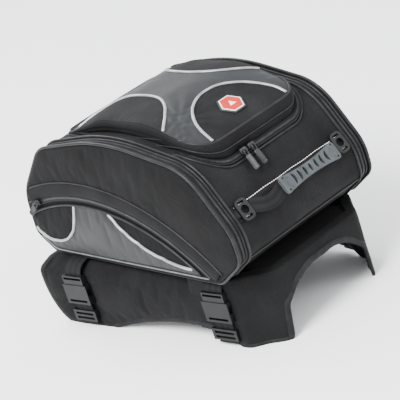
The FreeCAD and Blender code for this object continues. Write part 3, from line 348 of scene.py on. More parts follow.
def mirrored(piece, name, body):
    """A copy of a left piece for the right side, with its faces turned outwards again."""
    bm = bmesh.new()
    bm.from_mesh(piece.data)
    bmesh.ops.transform(bm, matrix=Matrix.Scale(-1, 4, (1, 0, 0)), verts=bm.verts)
    bmesh.ops.reverse_faces(bm, faces=bm.faces)
    return new_piece(name, bm, list(piece.data.materials), body)


class Path:
    """A line through points in metres, closed or open, read by the distance along it."""

    def __init__(self, points, closed=False):
        self.points = [Vector(p) for p in points] + ([Vector(points[0])] if closed else [])
        self.closed = closed
        self.marks = [0.0]
        for a, b in zip(self.points, self.points[1:]):
            self.marks.append(self.marks[-1] + (b - a).length)
        self.length = self.marks[-1]

    def at(self, share):
        """Point at a share of the length, 0 to 1."""
        share = share % 1.0 if self.closed and share != 1.0 else min(max(share, 0.0), 1.0)
        along = share * self.length
        low, high = 0, len(self.marks) - 1
        while high - low > 1:
            middle = (low + high) // 2
            if self.marks[middle] <= along:
                low = middle
            else:
                high = middle
        span = self.marks[high] - self.marks[low]
        return self.points[low].lerp(self.points[high], (along - self.marks[low]) / span if span else 0)

    def along(self, share, reach=2 * MM):
        """Direction of the path at a share of its length."""
        step = reach / self.length
        if self.closed:
            return (self.at(share + step) - self.at(share - step)).normalized()
        low, high = max(share - step, 0.0), min(share + step, 1.0)
        return (self.at(high) - self.at(low)).normalized()


def stance(path, share, across):
    """Place, direction and sideways direction of a piece that is carried along a path."""
    base, ahead = path.at(share), path.along(share)
    side = across(share)
    return base, ahead, (side - ahead * side.dot(ahead)).normalized()


def sweep(bm, path, across, section, step=5 * MM, material=0):
    """Carry a closed section along a path. across(share) gives the section's first direction.

    A section point is (distance along across, distance along the outward normal)."""
    section_path = Path([(a, b, 0) for a, b in section], closed=True)
    columns = max(int(path.length / step), 4)
    rows = len(section)

    def place(u, v):
        base, ahead, side = stance(path, u, across)
        spot = section_path.points[round(v * rows) % rows]
        return base + side * spot.x + ahead.cross(side) * spot.y

    verts = bend_grid(bm, columns, rows, place, path.closed, True,
                      (path.length, section_path.length), material)
    if not path.closed:
        verts = [vert for vert in verts if vert.is_valid]
        ends = {edge for vert in verts for edge in vert.link_edges if edge.is_boundary}
        bmesh.ops.holes_fill(bm, edges=list(ends), sides=0)


def round_section(radius, count=10, flat=1.0):
    """A circle, or an oval with a lower height, as a section."""
    return [(radius * math.cos(a), radius * flat * math.sin(a))
            for a in (2 * math.pi * k / count for k in range(count))]


def band_section(width, thickness, lift=0.0):
    """A flat band with eased edges, its underside at lift."""
    half, ease = width / 2, min(thickness * 0.45, 0.8 * MM)
    return [(-half, lift + ease), (-half + ease, lift), (half - ease, lift), (half, lift + ease),
            (half, lift + thickness - ease), (half - ease, lift + thickness),
            (-half + ease, lift + thickness), (-half, lift + thickness - ease)]


def teeth(bm, path, across, pitch, size, lift, material=0, skew=0.0, shift=0.0, ends=0.0):
    """A row of small blocks along a path: coil turns or stitches. size is (across, along, high)."""
    count = int(path.length * (1 - 2 * ends) / pitch)
    for k in range(count):
        base, ahead, side = stance(path, ends + (k + 0.5) / count * (1 - 2 * ends), across)
        out = ahead.cross(side)
        turned = (side + ahead * skew).normalized()
        basis = Matrix((turned * size[0], ahead * size[1], out * size[2])).transposed().to_4x4()
        spot = Matrix.Translation(base + side * shift + out * lift)
        made = bmesh.ops.create_cube(bm, size=1.0, matrix=spot @ basis)
        for face in {f for vert in made["verts"] for f in vert.link_faces}:
            face.material_index = material


def sideways(share):
    return X_AXIS


def upwards(share):
    return Z_AXIS


# %% [markdown]
# ## The bag's side outline
# Every hoop round the bag, its panels and its shell share one outline. It is read from the CAD side
# panel: the points of its inner face, put in order round their middle.


# %% Side outline
def outline_of(node, at_x):
    """Outline points of a CAD node in the plane x = at_x, in order, as a closed path."""
    bm = bmesh.new()
    bm.from_mesh(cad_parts[node].data)
    bmesh.ops.remove_doubles(bm, verts=bm.verts, dist=0.02 * MM)
    spots = [v.co.copy() for v in bm.verts if abs(v.co.x - at_x) < 0.02 * MM]
    bm.free()
    middle = sum(spots, Vector()) / len(spots)
    spots.sort(key=lambda p: math.atan2(p.z - middle.z, p.y - middle.y))
    kept = [p for i, p in enumerate(spots) if (p - spots[i - 1]).length > 0.05 * MM]
    return Path([(0, p.y, p.z) for p in kept], closed=True)


HOOP_POINTS = 220
panel_low, panel_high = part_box("side_panel_left")
PANEL_INNER, PANEL_OUTER = -panel_high.x, -panel_low.x
panel_outline = outline_of("side_panel_left", -PANEL_INNER)
bag_middle = Vector((0, 0, (panel_low.z + panel_high.z) / 2))
print("outline", len(panel_outline.points), "points,", round(panel_outline.length / MM), "mm round")


def outline_normal(share):
    """Outward direction of the side outline."""
    ahead = panel_outline.along(share, 6 * MM)
    normal = Vector((0, ahead.z, -ahead.y))
    return normal if normal.dot(panel_outline.at(share) - bag_middle) > 0 else -normal


def hoop_at(x, off):
    """The outline moved to one x and outwards by off."""
    spots = []
    for k in range(HOOP_POINTS):
        p = panel_outline.at(k / HOOP_POINTS)
        out = outline_normal(k / HOOP_POINTS)
        spots.append((x, p.y + out.y * off, p.z + out.z * off))
    return Path(spots, closed=True)


def keep_above(path, low_z):
    """The same closed path, held above a height."""
    return Path([(p.x, p.y, max(p.z, low_z)) for p in path.points[:-1]], closed=True)


def soft_noise(spot, size, seed=0.0):
    """Smooth noise between about -1 and 1, with features of about that size."""
    shift = Vector((seed, seed * 1.7, -seed))
    return noise.noise(spot / size + shift) + 0.4 * noise.noise(spot / size * 2.3 + shift)


# %% [markdown]
# ## The shell
# The shell is one strip of foam-backed fabric that goes right round the bag, with the mouth cut out
# under the lid. A grid is bent round the outline, dented a little by noise where cloth would sag, cut
# along the seam of the bottom, and given its thickness by a Solidify modifier.

# %% Shell and bottom
shell_low, shell_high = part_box("shell")
SHELL_HALF = shell_high.x
SEAM_Z = shell_low.z
SHELL_OFF = 1 * MM
BAG_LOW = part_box("bottom_panel")[0].z
lid_low, lid_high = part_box("lid_top")
LID_HALF, LID_REAR, LID_FRONT = lid_high.x, lid_low.y, lid_high.y
MOUTH_MARGIN = 12 * MM


def lid_plan(inset, rear_radius=45 * MM, front_radius=12 * MM, corner_steps=10):
    """The lid's rounded outline in plan, moved inwards, from the front right corner round the rear."""
    half, rear, front = LID_HALF - inset, LID_REAR + inset, LID_FRONT - inset
    spots = []
    for cx, cy, radius, start in ((1, -1, rear_radius, 0), (-1, -1, rear_radius, 270),
                                  (-1, 1, front_radius, 180), (1, 1, front_radius, 90)):
        radius = max(radius - inset, 1 * MM)
        middle = Vector((cx * (half - radius), (front - radius) if cy > 0 else (rear + radius), 0))
        for k in range(corner_steps + 1):
            angle = math.radians(start - 90 * k / corner_steps)
            spots.append(middle + Vector((math.cos(angle), math.sin(angle), 0)) * radius)
    return Path(spots, closed=True)


def in_plan(spot, path):
    """Whether a point lies inside a closed path, seen from above."""
    inside = False
    for a, b in zip(path.points, path.points[1:]):
        if (a.y > spot.y) != (b.y > spot.y):
            if spot.x < a.x + (spot.y - a.y) / (b.y - a.y) * (b.x - a.x):
                inside = not inside
    return inside


def nearest_on(spot, path, flat):
    """Nearest point of a path, compared in the plane that flat leaves."""
    best, place = None, None
    for a, b in zip(path.points, path.points[1:]):
        run = flat(b - a)
        t = max(0.0, min(1.0, flat(spot - a).dot(run) / max(run.length_squared, 1e-12)))
        at = a + (b - a) * t
        gap = flat(spot - at).length
        if best is None or gap < best:
            best, place = gap, at
    return place


def from_above(v):
    return Vector((v.x, v.y, 0))


mouth = lid_plan(MOUTH_MARGIN)
shell_hoop = hoop_at(0, SHELL_OFF)


def shell_place(u, v):
    spot = shell_hoop.at(u) + X_AXIS * (v * 2 - 1) * SHELL_HALF
    edge = min(v, 1 - v) * 2 * SHELL_HALF
    calm = min(edge / (25 * MM), 1.0)
    sag = 0.9 + soft_noise(Vector((spot.x * 0.6, spot.y, spot.z)), 55 * MM) \
        + 0.5 * soft_noise(spot, 24 * MM, 4.0)
    return spot - outline_normal(u) * max(sag, 0.0) * calm * 1.4 * MM


shell_bm = bmesh.new()
bend_grid(shell_bm, 300, 66, shell_place, closed_u=True, uv_size=(shell_hoop.length, 2 * SHELL_HALF))
top_z = bag_middle.z + 40 * MM
holes = [f for f in shell_bm.faces
         if f.calc_center_median().z > top_z and in_plan(f.calc_center_median(), mouth)]
bmesh.ops.delete(shell_bm, geom=holes, context="FACES")
for vert in shell_bm.verts:
    if vert.is_boundary and abs(vert.co.x) < SHELL_HALF - 5 * MM:
        on_rim = nearest_on(vert.co, mouth, from_above)
        vert.co.x, vert.co.y = on_rim.x, on_rim.y
bottom_bm = shell_bm.copy()
for bm, keeps_top in ((shell_bm, True), (bottom_bm, False)):
    everything = bm.verts[:] + bm.edges[:] + bm.faces[:]
    bmesh.ops.bisect_plane(bm, geom=everything, plane_co=(0, 0, SEAM_Z), plane_no=(0, 0, 1),
                           clear_inner=keeps_top, clear_outer=not keeps_top)


def face_out(bm, middle):
    """Turn an open skin's faces away from a point inside it."""
    bm.normal_update()
    facing = sum((f.normal.dot(f.calc_center_median() - middle) for f in bm.faces), 0.0)
    if facing < 0:
        bmesh.ops.reverse_faces(bm, faces=bm.faces)


def thicken(piece, thickness, offset=-1.0):
    """Give an open sheet its wall, inwards from its face."""
    wall = piece.modifiers.new("wall", "SOLIDIFY")
    wall.thickness, wall.offset = thickness, offset
    return piece


for bm, name, material, node in ((shell_bm, "shell_skin", shell_cloth, "shell"),
                                 (bottom_bm, "bottom_skin", bottom_cloth, "bottom_panel")):
    face_out(bm, bag_middle)
    skin = new_piece(name, bm, material, "bag", closed=False)
    thicken(skin, 2.4 * MM)
    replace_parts(skin, node)
    print(name, len(skin.data.polygons), "faces")

# %% [markdown]
# ## Pipings round the bag
# Each hoop is a cord in a vinyl sleeve, swept round the outline. Under the bag it is pressed flat into
# the bottom, so its path is held above the underside.


# %% Hoops and seams
def hoop_piece(name, x, off, section, material, body, node=None, step=5 * MM, low=None):
    bm = bmesh.new()
    path = keep_above(hoop_at(x, off), BAG_LOW + 2.4 * MM if low is None else low)
    sweep(bm, path, sideways, section, step)
    piece = new_piece(name, bm, material, body)
    if node:
        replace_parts(piece, node)
    return piece


for side, sign in SIDES:
    hoop_piece(f"shell_edge_cord_{side}", sign * (SHELL_HALF - 2 * MM), SHELL_OFF + 0.9 * MM,
               round_section(2.3 * MM), black_piping, "bag", f"shell_edge_piping_{side}")
    hoop_piece(f"panel_cord_{side}", sign * (SHELL_HALF + 22 * MM), SHELL_OFF + 0.6 * MM,
               round_section(2.6 * MM, 12), black_piping, f"side_{side}", f"panel_piping_{side}")

for end, turn_sign in (("rear", -1), ("front", 1)):
    spots = [p for p in shell_hoop.points if p.y * turn_sign > 0]
    seam_y = min(spots, key=lambda p: abs(p.z - SEAM_Z)).y
    bm = bmesh.new()
    seam = Path([(x * 10 * MM, seam_y, SEAM_Z) for x in range(-13, 14)])
    sweep(bm, seam, upwards, round_section(1.5 * MM, 8))
    new_piece(f"bottom_seam_cord_{end}", bm, black_piping, "bag")

# %% [markdown]
# ## Gussets and their zips
# Between shell and side panel lies a folded gusset, closed by a zip that runs right round. It is a
# sleeve a little smaller than the shell, so that it can slide out from under it. Two soft lips lie
# beside the zip, and the coil is a row of small turns.

# %% Gussets and expansion zips
GUSSET_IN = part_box("gusset_right")[0].x
GUSSET_OFF = -2.9 * MM
ZIP_X = (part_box("expansion_zip_right")[0].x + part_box("expansion_zip_right")[1].x) / 2

for side, sign in SIDES:
    body = f"side_{side}"
    sleeve = hoop_at(0, GUSSET_OFF)
    bm = bmesh.new()

    def gusset_place(u, v):
        x = GUSSET_IN + (PANEL_INNER + 1 * MM - GUSSET_IN) * v
        ripple = 0.35 * MM * soft_noise(Vector((x, 0, 0)) + sleeve.at(u), 30 * MM)
        return sleeve.at(u) + X_AXIS * sign * x + outline_normal(u) * ripple

    bend_grid(bm, 260, 12, gusset_place, closed_u=True)
    face_out(bm, bag_middle)
    gusset = thicken(new_piece(f"gusset_skin_{side}", bm, gusset_cloth, body, closed=False), 1.4 * MM)
    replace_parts(gusset, f"gusset_{side}")

    bm = bmesh.new()
    middle_line = hoop_at(sign * ZIP_X, GUSSET_OFF)
    for shift in (-1, 1):
        tape = hoop_at(sign * ZIP_X + shift * 2.9 * MM, GUSSET_OFF)
        sweep(bm, tape, sideways, band_section(4.6 * MM, 1.1 * MM, 0.2 * MM))
    teeth(bm, middle_line, sideways, 2.1 * MM, (3.4 * MM, 1.2 * MM, 1.4 * MM), 1.6 * MM, material=1,
          skew=0.25)
    zip_piece = new_piece(f"expansion_coil_{side}", bm, [zip_tape, nylon_coil], body, smooth=False)
    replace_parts(zip_piece, f"expansion_zip_{side}")
    for k, shift in enumerate((-7.2 * MM, 7.4 * MM)):
        hoop_piece(f"zip_lip_{side}_{k}", sign * (ZIP_X + shift), GUSSET_OFF + 1.2 * MM,
                   round_section(1.9 * MM, 8), black_piping, body)
print("gussets done")

# %% [markdown]
# ## Cloth that is sewn down round its edge
# The padded panels are cloth sewn down round the rim and pushed out by foam. A flat sheet is cut from a
# grid, held where it is sewn, and Blender's cloth solver blows it up gently. The cloth is cut a little
# too large, which is what makes real covers crease. A cap keeps each point near the CAD solid.


# %% Cloth helpers
def cut_sheet(plan, spacing):
    """A flat grid cut to a closed outline in the XY plane."""
    xs, ys = [p.x for p in plan.points], [p.y for p in plan.points]
    width, height = max(xs) - min(xs), max(ys) - min(ys)
    bm = bmesh.new()
    bmesh.ops.create_grid(bm, x_segments=round(width / spacing), y_segments=round(height / spacing),
                          size=0.5)
    bmesh.ops.scale(bm, vec=(width, height, 1), verts=bm.verts)
    bmesh.ops.translate(bm, vec=((max(xs) + min(xs)) / 2, (max(ys) + min(ys)) / 2, 0), verts=bm.verts)
    outside = [f for f in bm.faces if not in_plan(f.calc_center_median(), plan)]
    bmesh.ops.delete(bm, geom=outside, context="FACES")
    for vert in bm.verts:
        if vert.is_boundary:
            vert.co = nearest_on(vert.co, plan, from_above)
    inner = [v for v in bm.verts if not v.is_boundary]
    for _ in range(3):
        bmesh.ops.smooth_vert(bm, verts=inner, factor=0.4, use_axis_x=True, use_axis_y=True)
    return bm


def puff(bm, held, pressure, slack, cap, frames=16, stiffness=10.0, bending=1.0):
    """Blow a sheet up with the cloth solver. held(vertex) says where it is sewn down."""
    mesh = bpy.data.meshes.new("cloth_blank")
    bm.to_mesh(mesh)
    blank = bpy.data.objects.new("cloth_blank", mesh)
    bpy.context.scene.collection.objects.link(blank)
    bm.verts.ensure_lookup_table()
    sewn = blank.vertex_groups.new(name="sewn")
    sewn.add([v.index for v in bm.verts if held(v)], 1.0, "REPLACE")
    cloth = blank.modifiers.new("cloth", "CLOTH")
    settings = cloth.settings
    settings.quality = 6
    settings.mass = 0.25
    settings.tension_stiffness = settings.compression_stiffness = stiffness
    settings.shear_stiffness = stiffness / 2
    settings.bending_stiffness = bending
    settings.use_pressure = True
    settings.uniform_pressure_force = pressure
    settings.vertex_group_mass = "sewn"
    settings.shrink_min = -slack
    settings.effector_weights.gravity = 0.0
    cloth.point_cache.frame_start, cloth.point_cache.frame_end = 1, frames
    for step in range(1, frames + 1):
        bpy.context.scene.frame_set(step)
    solved = blank.evaluated_get(bpy.context.evaluated_depsgraph_get())
    for vert, moved_to in zip(bm.verts, [v.co.copy() for v in solved.data.vertices]):
        move = moved_to - vert.co
        if move.length > 1e-7:
            vert.co += move * (cap * math.tanh(move.length / cap) / move.length)
    bpy.data.objects.remove(blank)
    bpy.context.scene.frame_set(1)


def face_along(bm, direction):
    """Turn an open skin's faces so that most of them look along a direction."""
    bm.normal_update()
    if sum(f.normal.dot(direction) for f in bm.faces) < 0:
        bmesh.ops.reverse_faces(bm, faces=bm.faces)


def relax(bm, times):
    """Even out a sheet's points, but not its rim."""
    for _ in range(times):
        bmesh.ops.smooth_vert(bm, verts=[v for v in bm.verts if not v.is_boundary], factor=0.5,
                              use_axis_x=True, use_axis_y=True, use_axis_z=True)


def refine(bm, cuts=1, smooth=1):
    """Divide a sheet's faces and smooth the new points, but not its rim."""
    bmesh.ops.subdivide_edges(bm, edges=bm.edges[:], cuts=cuts, use_grid_fill=True, smooth=0.0)
    relax(bm, smooth)


def edge_gap(spot, plan):
    """Distance of a point from an outline, in plan."""
    return from_above(spot - nearest_on(spot, plan, from_above)).length


def turn_down(bm, move):
    """Turn the rim of a sheet down by a move, so that it has a side wall."""
    rim = [e for e in bm.edges if e.is_boundary]
    made = bmesh.ops.extrude_edge_only(bm, edges=rim)
    bmesh.ops.translate(bm, vec=move,
                        verts=[g for g in made["geom"] if isinstance(g, bmesh.types.BMVert)])


# %% [markdown]
# ## Side panels
# A side panel is a padded end of the bag. It creases where the filling doesn't reach its corners. The
# left one is settled as cloth, and the right one is its mirror image.

# %% Side panels
ARC_Y = 88 * MM
ARC_Z = BAG_LOW - 259 * MM
ZIP_ARC = 376 * MM
STORM_ARC = 392 * MM
POCKET_ARC = 361 * MM


def side_plan(inset):
    """The side outline, moved inwards, in a flat plane with y across and z up."""
    return Path([(p.y, p.z, 0) for p in hoop_at(0, -inset).points[:-1]], closed=True)


def on_side(bm, x):
    """Stand a flat sheet up as a left side: its first axis along the bag, its second upwards."""
    for vert in bm.verts:
        vert.co = Vector((-x + vert.co.z, vert.co.x, vert.co.y))


def arc_reach(spot):
    """Distance from the centre of the pocket's arcs, for a point of a left side."""
    return math.hypot(spot.y - ARC_Y, spot.z - ARC_Z)


panel_bm = cut_sheet(side_plan(1.0 * MM), 6 * MM)
on_side(panel_bm, PANEL_OUTER - 1.2 * MM)
face_along(panel_bm, -X_AXIS)
puff(panel_bm, lambda v: v.is_boundary or arc_reach(v.co) < STORM_ARC + 6 * MM, 5.0, 0.006, 6 * MM)
for vert in panel_bm.verts:
    if not vert.is_boundary and arc_reach(vert.co) > STORM_ARC + 6 * MM:
        away = arc_reach(vert.co) - STORM_ARC - 6 * MM
        crease = soft_noise(Vector((0, vert.co.y - vert.co.z * 0.5, vert.co.z * 0.8)), 62 * MM, 2.0)
        vert.co.x -= crease * min(away / (30 * MM), 1.0) * 1.2 * MM
refine(panel_bm)
turn_down(panel_bm, (6 * MM, 0, 0))
panel_left = new_piece("side_panel_skin_left", panel_bm, panel_cloth, "side_left", closed=False)
panel_right = mirrored(panel_left, "side_panel_skin_right", "side_right")
for side, panel in (("left", panel_left), ("right", panel_right)):
    thicken(panel, 1.5 * MM)
    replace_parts(panel, f"side_panel_{side}")
print("side panel", len(panel_left.data.polygons), "faces")

# %% [markdown]
# ## The pocket's zip and storm band
# The pocket's zip follows one arc, and a padded storm band above it keeps rain out. Both are flat
# ribbons, so they are swept along the arc rather than simulated.


# %% Arcs on the side
def arc_on_side(radius, x, inset, step=0.5):
    """An arc about the pocket's centre on a left side, from the front of the panel to its rear."""
    plan = side_plan(inset)
    angles = [a * step for a in range(int(-80 / step), int(80 / step))]
    spots = []
    for angle in reversed(angles):
        y = ARC_Y + radius * math.sin(math.radians(angle))
        z = ARC_Z + radius * math.cos(math.radians(angle))
        if in_plan(Vector((y, z, 0)), plan):
            spots.append((-x, y, z))
    return Path(spots)


def up_from_arc(path):
    """For a sweep: the direction away from the arcs' centre."""
    return lambda share: (path.at(share) - Vector((path.at(share).x, ARC_Y, ARC_Z))).normalized()


def side_pair(name, bm, materials, node=None, smooth=True):
    """A left piece and its mirror image, each for its own side."""
    left = new_piece(f"{name}_left", bm, materials, "side_left", smooth)
    pair = (left, mirrored(left, f"{name}_right", "side_right"))
    if node:
        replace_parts(pair[0], f"{node}_left")
        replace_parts(pair[1], f"{node}_right")
    return pair


bm = bmesh.new()
band = arc_on_side(STORM_ARC, PANEL_OUTER - 0.6 * MM, 6 * MM)
sweep(bm, band, up_from_arc(band),
      [(-11 * MM, 0.6 * MM), (-11 * MM, 2.4 * MM), (-9.5 * MM, 3.5 * MM), (-4 * MM, 4.1 * MM),
       (4 * MM, 3.6 * MM), (9 * MM, 2.4 * MM), (11 * MM, 0.6 * MM), (0, 0)], 4 * MM)
side_pair("storm_band", bm, storm_cloth, "storm_flap")
bm = bmesh.new()
for radius, bead in ((STORM_ARC + 11 * MM, 1.3 * MM), (STORM_ARC - 10.5 * MM, 1.2 * MM)):
    seam = arc_on_side(radius, PANEL_OUTER + 0.6 * MM, 6 * MM)
    sweep(bm, seam, up_from_arc(seam), round_section(bead, 6), 5 * MM)
side_pair("storm_seams", bm, black_piping)

bm = bmesh.new()
zip_line = arc_on_side(ZIP_ARC, PANEL_OUTER, 10 * MM)
for shift in (-3.4, 3.4):
    tape = arc_on_side(ZIP_ARC + shift * MM, PANEL_OUTER, 10 * MM)
    sweep(bm, tape, up_from_arc(tape), band_section(5.4 * MM, 1.0 * MM), 5 * MM)
teeth(bm, zip_line, up_from_arc(zip_line), 2.2 * MM, (3.6 * MM, 1.3 * MM, 1.5 * MM), 1.3 * MM,
      material=1, skew=0.3)
side_pair("pocket_coil", bm, [zip_tape, nylon_coil], "pocket_zip", smooth=False)
bm = bmesh.new()
lip = arc_on_side(POCKET_ARC + 1.5 * MM, PANEL_OUTER + 1.2 * MM, 10 * MM)
sweep(bm, lip, up_from_arc(lip), round_section(2.1 * MM, 8), 5 * MM)
side_pair("pocket_lip", bm, black_piping)

# %% [markdown]
# ## Side pockets
# The pocket is a flat bag of grey vinyl with black inserts, full enough to stand out in the middle and
# sewn down at its rim. After the cloth has settled, each face takes the colour of the insert it is in.

# %% Side pockets
FRONT_INSERT = (Vector((188, 112, 0)) * MM, 74 * MM)
REAR_INSERT = (Vector((-158, 299, 0)) * MM, 270 * MM)

inner_edge = side_plan(9 * MM)
rim = [p for p in inner_edge.points if math.hypot(p.x - ARC_Y, p.y - ARC_Z) < POCKET_ARC]
rim += [Vector((p.y, p.z, 0)) for p in arc_on_side(POCKET_ARC, 0, 9 * MM, 1.0).points]
centre = sum(rim, Vector()) / len(rim)
rim.sort(key=lambda p: math.atan2(p.y - centre.y, p.x - centre.x))
pocket_plan = Path(rim, closed=True)
pocket_bm = cut_sheet(pocket_plan, 5.5 * MM)
for vert in pocket_bm.verts:
    gap = 0 if vert.is_boundary else edge_gap(vert.co, pocket_plan)
    vert.co.z = -3.2 * MM * (1 - math.exp(-gap / (10 * MM)))
on_side(pocket_bm, PANEL_OUTER + 0.6 * MM)
face_along(pocket_bm, -X_AXIS)
puff(pocket_bm, lambda v: v.is_boundary, 4.0, 0.006, 6 * MM)
refine(pocket_bm, 2, 2)


def in_insert(spot, insert):
    return math.hypot(spot.y - insert[0].x, spot.z - insert[0].y) < insert[1]


pocket_bm.normal_update()
pocket_tree = BVHTree.FromBMesh(pocket_bm)
for face in pocket_bm.faces:
    middle = face.calc_center_median()
    face.material_index = int(in_insert(middle, FRONT_INSERT) or in_insert(middle, REAR_INSERT))
pocket_left = new_piece("pocket_skin_left", pocket_bm, [grey_vinyl, panel_cloth], "side_left",
                        closed=False)
pocket_right = mirrored(pocket_left, "pocket_skin_right", "side_right")
for side, pocket in (("left", pocket_left), ("right", pocket_right)):
    thicken(pocket, 1.2 * MM)
    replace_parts(pocket, f"side_pocket_{side}")
print("pocket", len(pocket_left.data.polygons), "faces")


# %% Pocket pipings
def on_pocket(y, z, off=0.0):
    """Point on the left pocket's skin at a height and place along the bag."""
    hit = pocket_tree.ray_cast(Vector((-0.3, y, z)), Vector((1, 0, 0)))[0]
    return (hit or Vector((-PANEL_OUTER - 1 * MM, y, z))) - X_AXIS * off


bm = bmesh.new()
for (middle, radius), name in ((FRONT_INSERT, "front"), (REAR_INSERT, "rear")):
    spots = []
    for k in range(720):
        angle = math.radians(k / 2 + 90)
        spot = middle + Vector((math.cos(angle), math.sin(angle), 0)) * radius
        if in_plan(spot, pocket_plan):
            spots.append(on_pocket(spot.x, spot.y, 0.9 * MM))
    line = Path(spots)
    sweep(bm, line, sideways, round_section(2.4 * MM, 10), 4 * MM)
side_pair("pocket_piping", bm, silver_piping)
bm = bmesh.new()
low_rim = [Vector((-PANEL_OUTER - 2.0 * MM, p.x, p.y)) for p in inner_edge.points
           if p.y < BAG_LOW + 34 * MM and -172 * MM < p.x < 244 * MM]
low_rim.sort(key=lambda p: p.y)
sweep(bm, Path(low_rim), sideways, round_section(1.3 * MM, 8), 5 * MM)
side_pair("pocket_low_piping", bm, dull_piping)
print("sides done")

# %% [markdown]
# ## The lid
# The lid's top is a padded sheet, crowned in the middle and sewn to a low wall all round. Its height
# comes from the CAD lid. It settles as cloth, then its faces take their colours: black inserts inside
# the side arches and the rear arch, and grey vinyl between them.


# %% Lid shape
def shell_top(y):
    """Height of the shell's upper side at a place along the bag."""
    best = None
    for a, b in zip(shell_hoop.points, shell_hoop.points[1:]):
        if (a.y - y) * (b.y - y) <= 0 and a.y != b.y:
            z = a.z + (b.z - a.z) * (y - a.y) / (b.y - a.y)
            best = z if best is None else max(best, z)
    return best


def tree_of(node):
    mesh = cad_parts[node].data
    return BVHTree.FromPolygons([v.co for v in mesh.vertices], [p.vertices for p in mesh.polygons])


lid_tree = tree_of("lid_top")
LID_CROWN = 8 * MM
LID_FADE = 70 * MM


def lid_cad_z(x, y):
    """Height of the CAD lid, read just inside its edge where a point is on the edge."""
    x = max(min(x, LID_HALF - 6 * MM), -LID_HALF + 6 * MM)
    y = max(min(y, LID_FRONT - 2 * MM), LID_REAR + 6 * MM)
    hit = lid_tree.ray_cast(Vector((0, y, 0.5)), -Z_AXIS)[0]
    return hit.z


def lid_z(x, y):
    """Height of the sewn lid: its edges a little lower than the CAD top, its middle crowned."""
    across = 1 - min(abs(x) / LID_HALF, 1.0) ** 2.4
    front = min(max(LID_FRONT - y, 0) / LID_FADE, 1.0)
    rear = min(max(y - LID_REAR, 0) / (90 * MM), 1.0)
    return lid_cad_z(x, y) - 1.5 * MM + LID_CROWN * across * front * rear


def wing_x(y):
    """Half width between the side arches at a place along the bag, None beyond their ends."""
    share = abs(y + 4 * MM) / (104 * MM)
    return None if share > 1 else 43 * MM + 67 * MM * share ** 2.7


def in_apron(x, y):
    return (x / (84 * MM)) ** 2 + ((y - LID_REAR) / (92 * MM)) ** 2 < 1


lid_edge = lid_plan(0.5 * MM)
lid_bm = cut_sheet(lid_edge, 6 * MM)
for vert in lid_bm.verts:
    vert.co.z = lid_z(vert.co.x, vert.co.y)
puff(lid_bm, lambda v: v.is_boundary or v.co.y > LID_FRONT - 12 * MM, 4.0, 0.012, 4 * MM)
for vert in lid_bm.verts:
    if vert.is_boundary:
        continue
    fade = min(edge_gap(vert.co, lid_edge) / (25 * MM), 1.0)
    fan = vert.co - Vector((-80 * MM, -118 * MM, vert.co.z))
    ray = math.atan2(abs(fan.y), abs(fan.x)) * 7.0
    near = math.exp(-(fan.length / (55 * MM)) ** 2)
    fold = 0.8 * soft_noise(Vector((vert.co.x, vert.co.y * 0.7, 0)), 34 * MM, 6.0) \
        + 1.3 * near * math.sin(ray * 2.0)
    vert.co.z += fold * fade * 1.0 * MM
refine(lid_bm, 2, 2)
face_along(lid_bm, Z_AXIS)
lid_skin_tree = BVHTree.FromBMesh(lid_bm)
for face in lid_bm.faces:
    middle = face.calc_center_median()
    half = wing_x(middle.y)
    in_wing = half is not None and abs(middle.x) > half
    face.material_index = int(in_wing or in_apron(middle.x, middle.y))
lid_skin = thicken(new_piece("lid_skin", lid_bm, [grey_vinyl, lid_cloth], "lid", closed=False), 4 * MM)
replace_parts(lid_skin, "lid_top")
print("lid", len(lid_skin.data.polygons), "faces, crown at",
      round(lid_skin_tree.ray_cast(Vector((0, 0, 0.5)), -Z_AXIS)[0].z / MM, 1), "mm")

# %% [markdown]
# ## The lid's wall, zip and hinge
# The wall is a band round the lid with a bead at its upper seam and a rain flap over the zip. The zip
# lies on the shell, so its ribbon leans with the shell's slope. At the front the lid's fabric runs on
# into the shell: that strip follows the higher of the lid and the shell, and rides on neither body.

# %% Lid wall
wall_line = lid_plan(0.0, corner_steps=14)
WALL_FORM = ((0.0, 1.4), (0.1, 2.4), (0.3, 2.9), (0.52, 2.6), (0.56, 1.2), (0.75, 1.0), (1.0, 0.2))


def plan_out(path, share):
    """Outward direction of an outline that runs clockwise, seen from above."""
    return path.along(share, 3 * MM).cross(Z_AXIS).normalized() * -1


def wall_place(u, v):
    spot, out = wall_line.at(u), plan_out(wall_line, u)
    top, low = lid_z(spot.x, spot.y) + 0.3 * MM, shell_top(spot.y) + 1.0 * MM
    low = min(low, top - 2.5 * MM) if spot.y > 100 * MM else low
    index = min(int(v * (len(WALL_FORM) - 1) + 0.5), len(WALL_FORM) - 1)
    share, bulge = WALL_FORM[index]
    height = top - low
    soft = 0.4 * soft_noise(spot, 40 * MM, 3.0)
    return Vector((spot.x, spot.y, top - height * share)) + out * (bulge + soft) * MM * \
        min(height / (12 * MM), 1.0)


bm = bmesh.new()
bend_grid(bm, 240, len(WALL_FORM) - 1, wall_place, closed_u=True)
face_out(bm, Vector((0, -30 * MM, 200 * MM)))
lid_wall = thicken(new_piece("lid_wall_band", bm, storm_cloth, "lid", closed=False), 2.4 * MM)
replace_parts(lid_wall, "lid_wall")


def lid_bead(name, inset, drop, radius, material):
    """A bead that follows the lid's edge at a share of the wall's height."""
    line = lid_plan(inset, corner_steps=14)
    spots = []
    for p in line.points[:-1]:
        top, low = lid_z(p.x, p.y), shell_top(p.y)
        spots.append((p.x, p.y, top - max(top - low, 0) * drop))
    path = Path(spots, closed=True)
    bm = bmesh.new()
    sweep(bm, path, upwards, round_section(radius, 8), 5 * MM)
    return new_piece(name, bm, material, "lid")


lid_bead("lid_edge_bead", 0.2 * MM, 0.0, 1.9 * MM, black_piping)
lid_bead("lid_band_bead", -2.2 * MM, 0.54, 1.3 * MM, black_piping)


